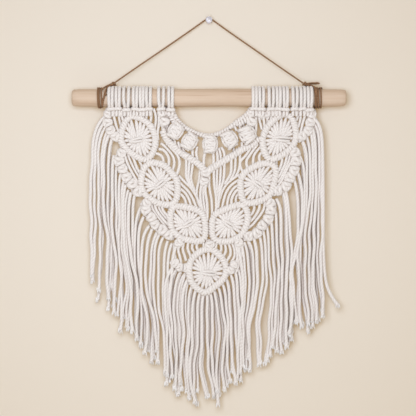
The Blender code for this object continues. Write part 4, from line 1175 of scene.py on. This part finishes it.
def let_down(behind, apart, doubled, slot, uneven, even, table, rng):
    """The lines of one fringe's strands, one before and one behind for each row of its table.

    With drop how far a point has fallen, z = root - drop and x = root + (hang - root) * (1 - exp(-drop /
    SPREAD_DROP)) + (low - hang) * settled + sway, where settled eases from 0 to 1 after SETTLE_DROP. y is
    that of the cloth, with a layer before or behind it, 0.35 of another sway, and steps back for every other
    pair and for pairs that share a place, once they have settled.
    """
    hang, *root = np.repeat(np.array(table, float), 2, axis=0).T
    strands = len(hang)
    front = np.where(np.arange(strands) % 2 == 0, -1.0, 1.0)[:, None]
    root = np.column_stack(root)
    root[:, 1] -= 1.2 * (front[:, 0] > 0)
    pair_side = 1.0 if apart > 2 else np.repeat(rng.choice((-1.0, 1.0), strands // 2), 2)
    beside = front[:, 0] * pair_side * apart * rng.uniform(*BESIDE_SHARES, strands)
    low = np.repeat(np.concatenate([np.linspace(first, last, pairs) for pairs, first, last in even]), 2)
    stacked = np.zeros(strands)
    if slot:
        taken = np.round((low - low[0]) / slot)
        stacked[2:] = taken[2:] == taken[:-2]
        low = low[0] + taken * slot + rng.normal(0, SETTLED_ERROR, strands)
    low = low + beside + np.repeat(rng.normal(0, uneven, strands // 2), 2)
    hang = hang + beside
    hem = np.interp(hang, *np.array(HEM, float).T)
    length = root[:, 1] - hem - FRAY_REACH + np.clip(rng.normal(0, TRIM_ERROR, strands), -12, 8)
    drop = length[:, None] * np.linspace(0, 1, RINGS)
    across = 1 - np.exp(-drop / (SPREAD_DROP * rng.uniform(0.75, 1.3, (strands, 1))))
    settled = np.clip((drop - SETTLE_DROP) / SETTLE_RUN, 0, 1)
    settled = settled**2 * (3 - 2 * settled)
    x = root[:, :1] + (hang - root[:, 0])[:, None] * across + sway(drop, hang, length, rng)
    x = x + (low - hang)[:, None] * settled
    layer = LAYER * front * rng.uniform(*LAYER_SHARES, (strands, 1))
    y = CLOTH_Y + layer * np.clip(drop / 15.0, 0.2, 1) + 0.35 * sway(drop, hang, length, rng)
    y = y + PAIR_STEP * np.repeat(np.arange(strands // 2) % 2 - 0.5, 2)[:, None] * settled
    y = np.clip(y, CLOTH_Y - 6.5, CLOTH_Y + 5.5) + behind * np.exp(-drop / 12.0)
    y = y + STACK_STEP * stacked[:, None] * settled
    paths = np.stack([x, y, root[:, 1:] - drop], axis=-1)
    return paths[(front[:, 0] < 0) | (rng.uniform(size=strands) < doubled)]


def frayed(paths, rng):
    """Loosened fibres at each path's end: short lines that start round it and spread as they fall."""
    tips = np.repeat(paths[:, -1], FRAY_HAIRS, axis=0)
    spread = np.clip(rng.normal(0, 1, (len(tips), 3)), -1.4, 1.4) * (1.5, 1.2, 0.6)
    t = np.linspace(0, 1, 5)[None, :, None]
    fall = np.array([0, 0, -1.0]) * FRAY_LENGTH * rng.uniform(0.55, 1.0, (len(tips), 1, 1))
    return (tips + spread * 0.8)[:, None] + fall * t + 0.55 * spread[:, None] * t + np.array([0, 0, 2.0])


flare = 1 + FLARE * np.clip(1 - (1 - np.linspace(0, 1, RINGS)) / FLARE_SHARE, 0, 1)
for seed, (node, *settings) in enumerate(FRINGES, start=11):
    rng = np.random.default_rng(seed)
    paths = let_down(*settings, rng)
    if node == "fringe_right":
        paths = np.concatenate([paths, lift(smooth_path(STRAY, RINGS), CLOTH_Y - 3.0)[None]])
    thick = STRAND_RADIUS * rng.uniform(0.88, 1.12, (len(paths), 1)) * flare
    piece(node + "_cords", [cotton_shell(paths, thick, seed=seed)], cotton, node)
    hairs = cords(frayed(paths, rng), FRAY_RADII, sides=4, lobe=0, seed=seed + 30)
    piece(node + "_tips", [hairs], tuft)
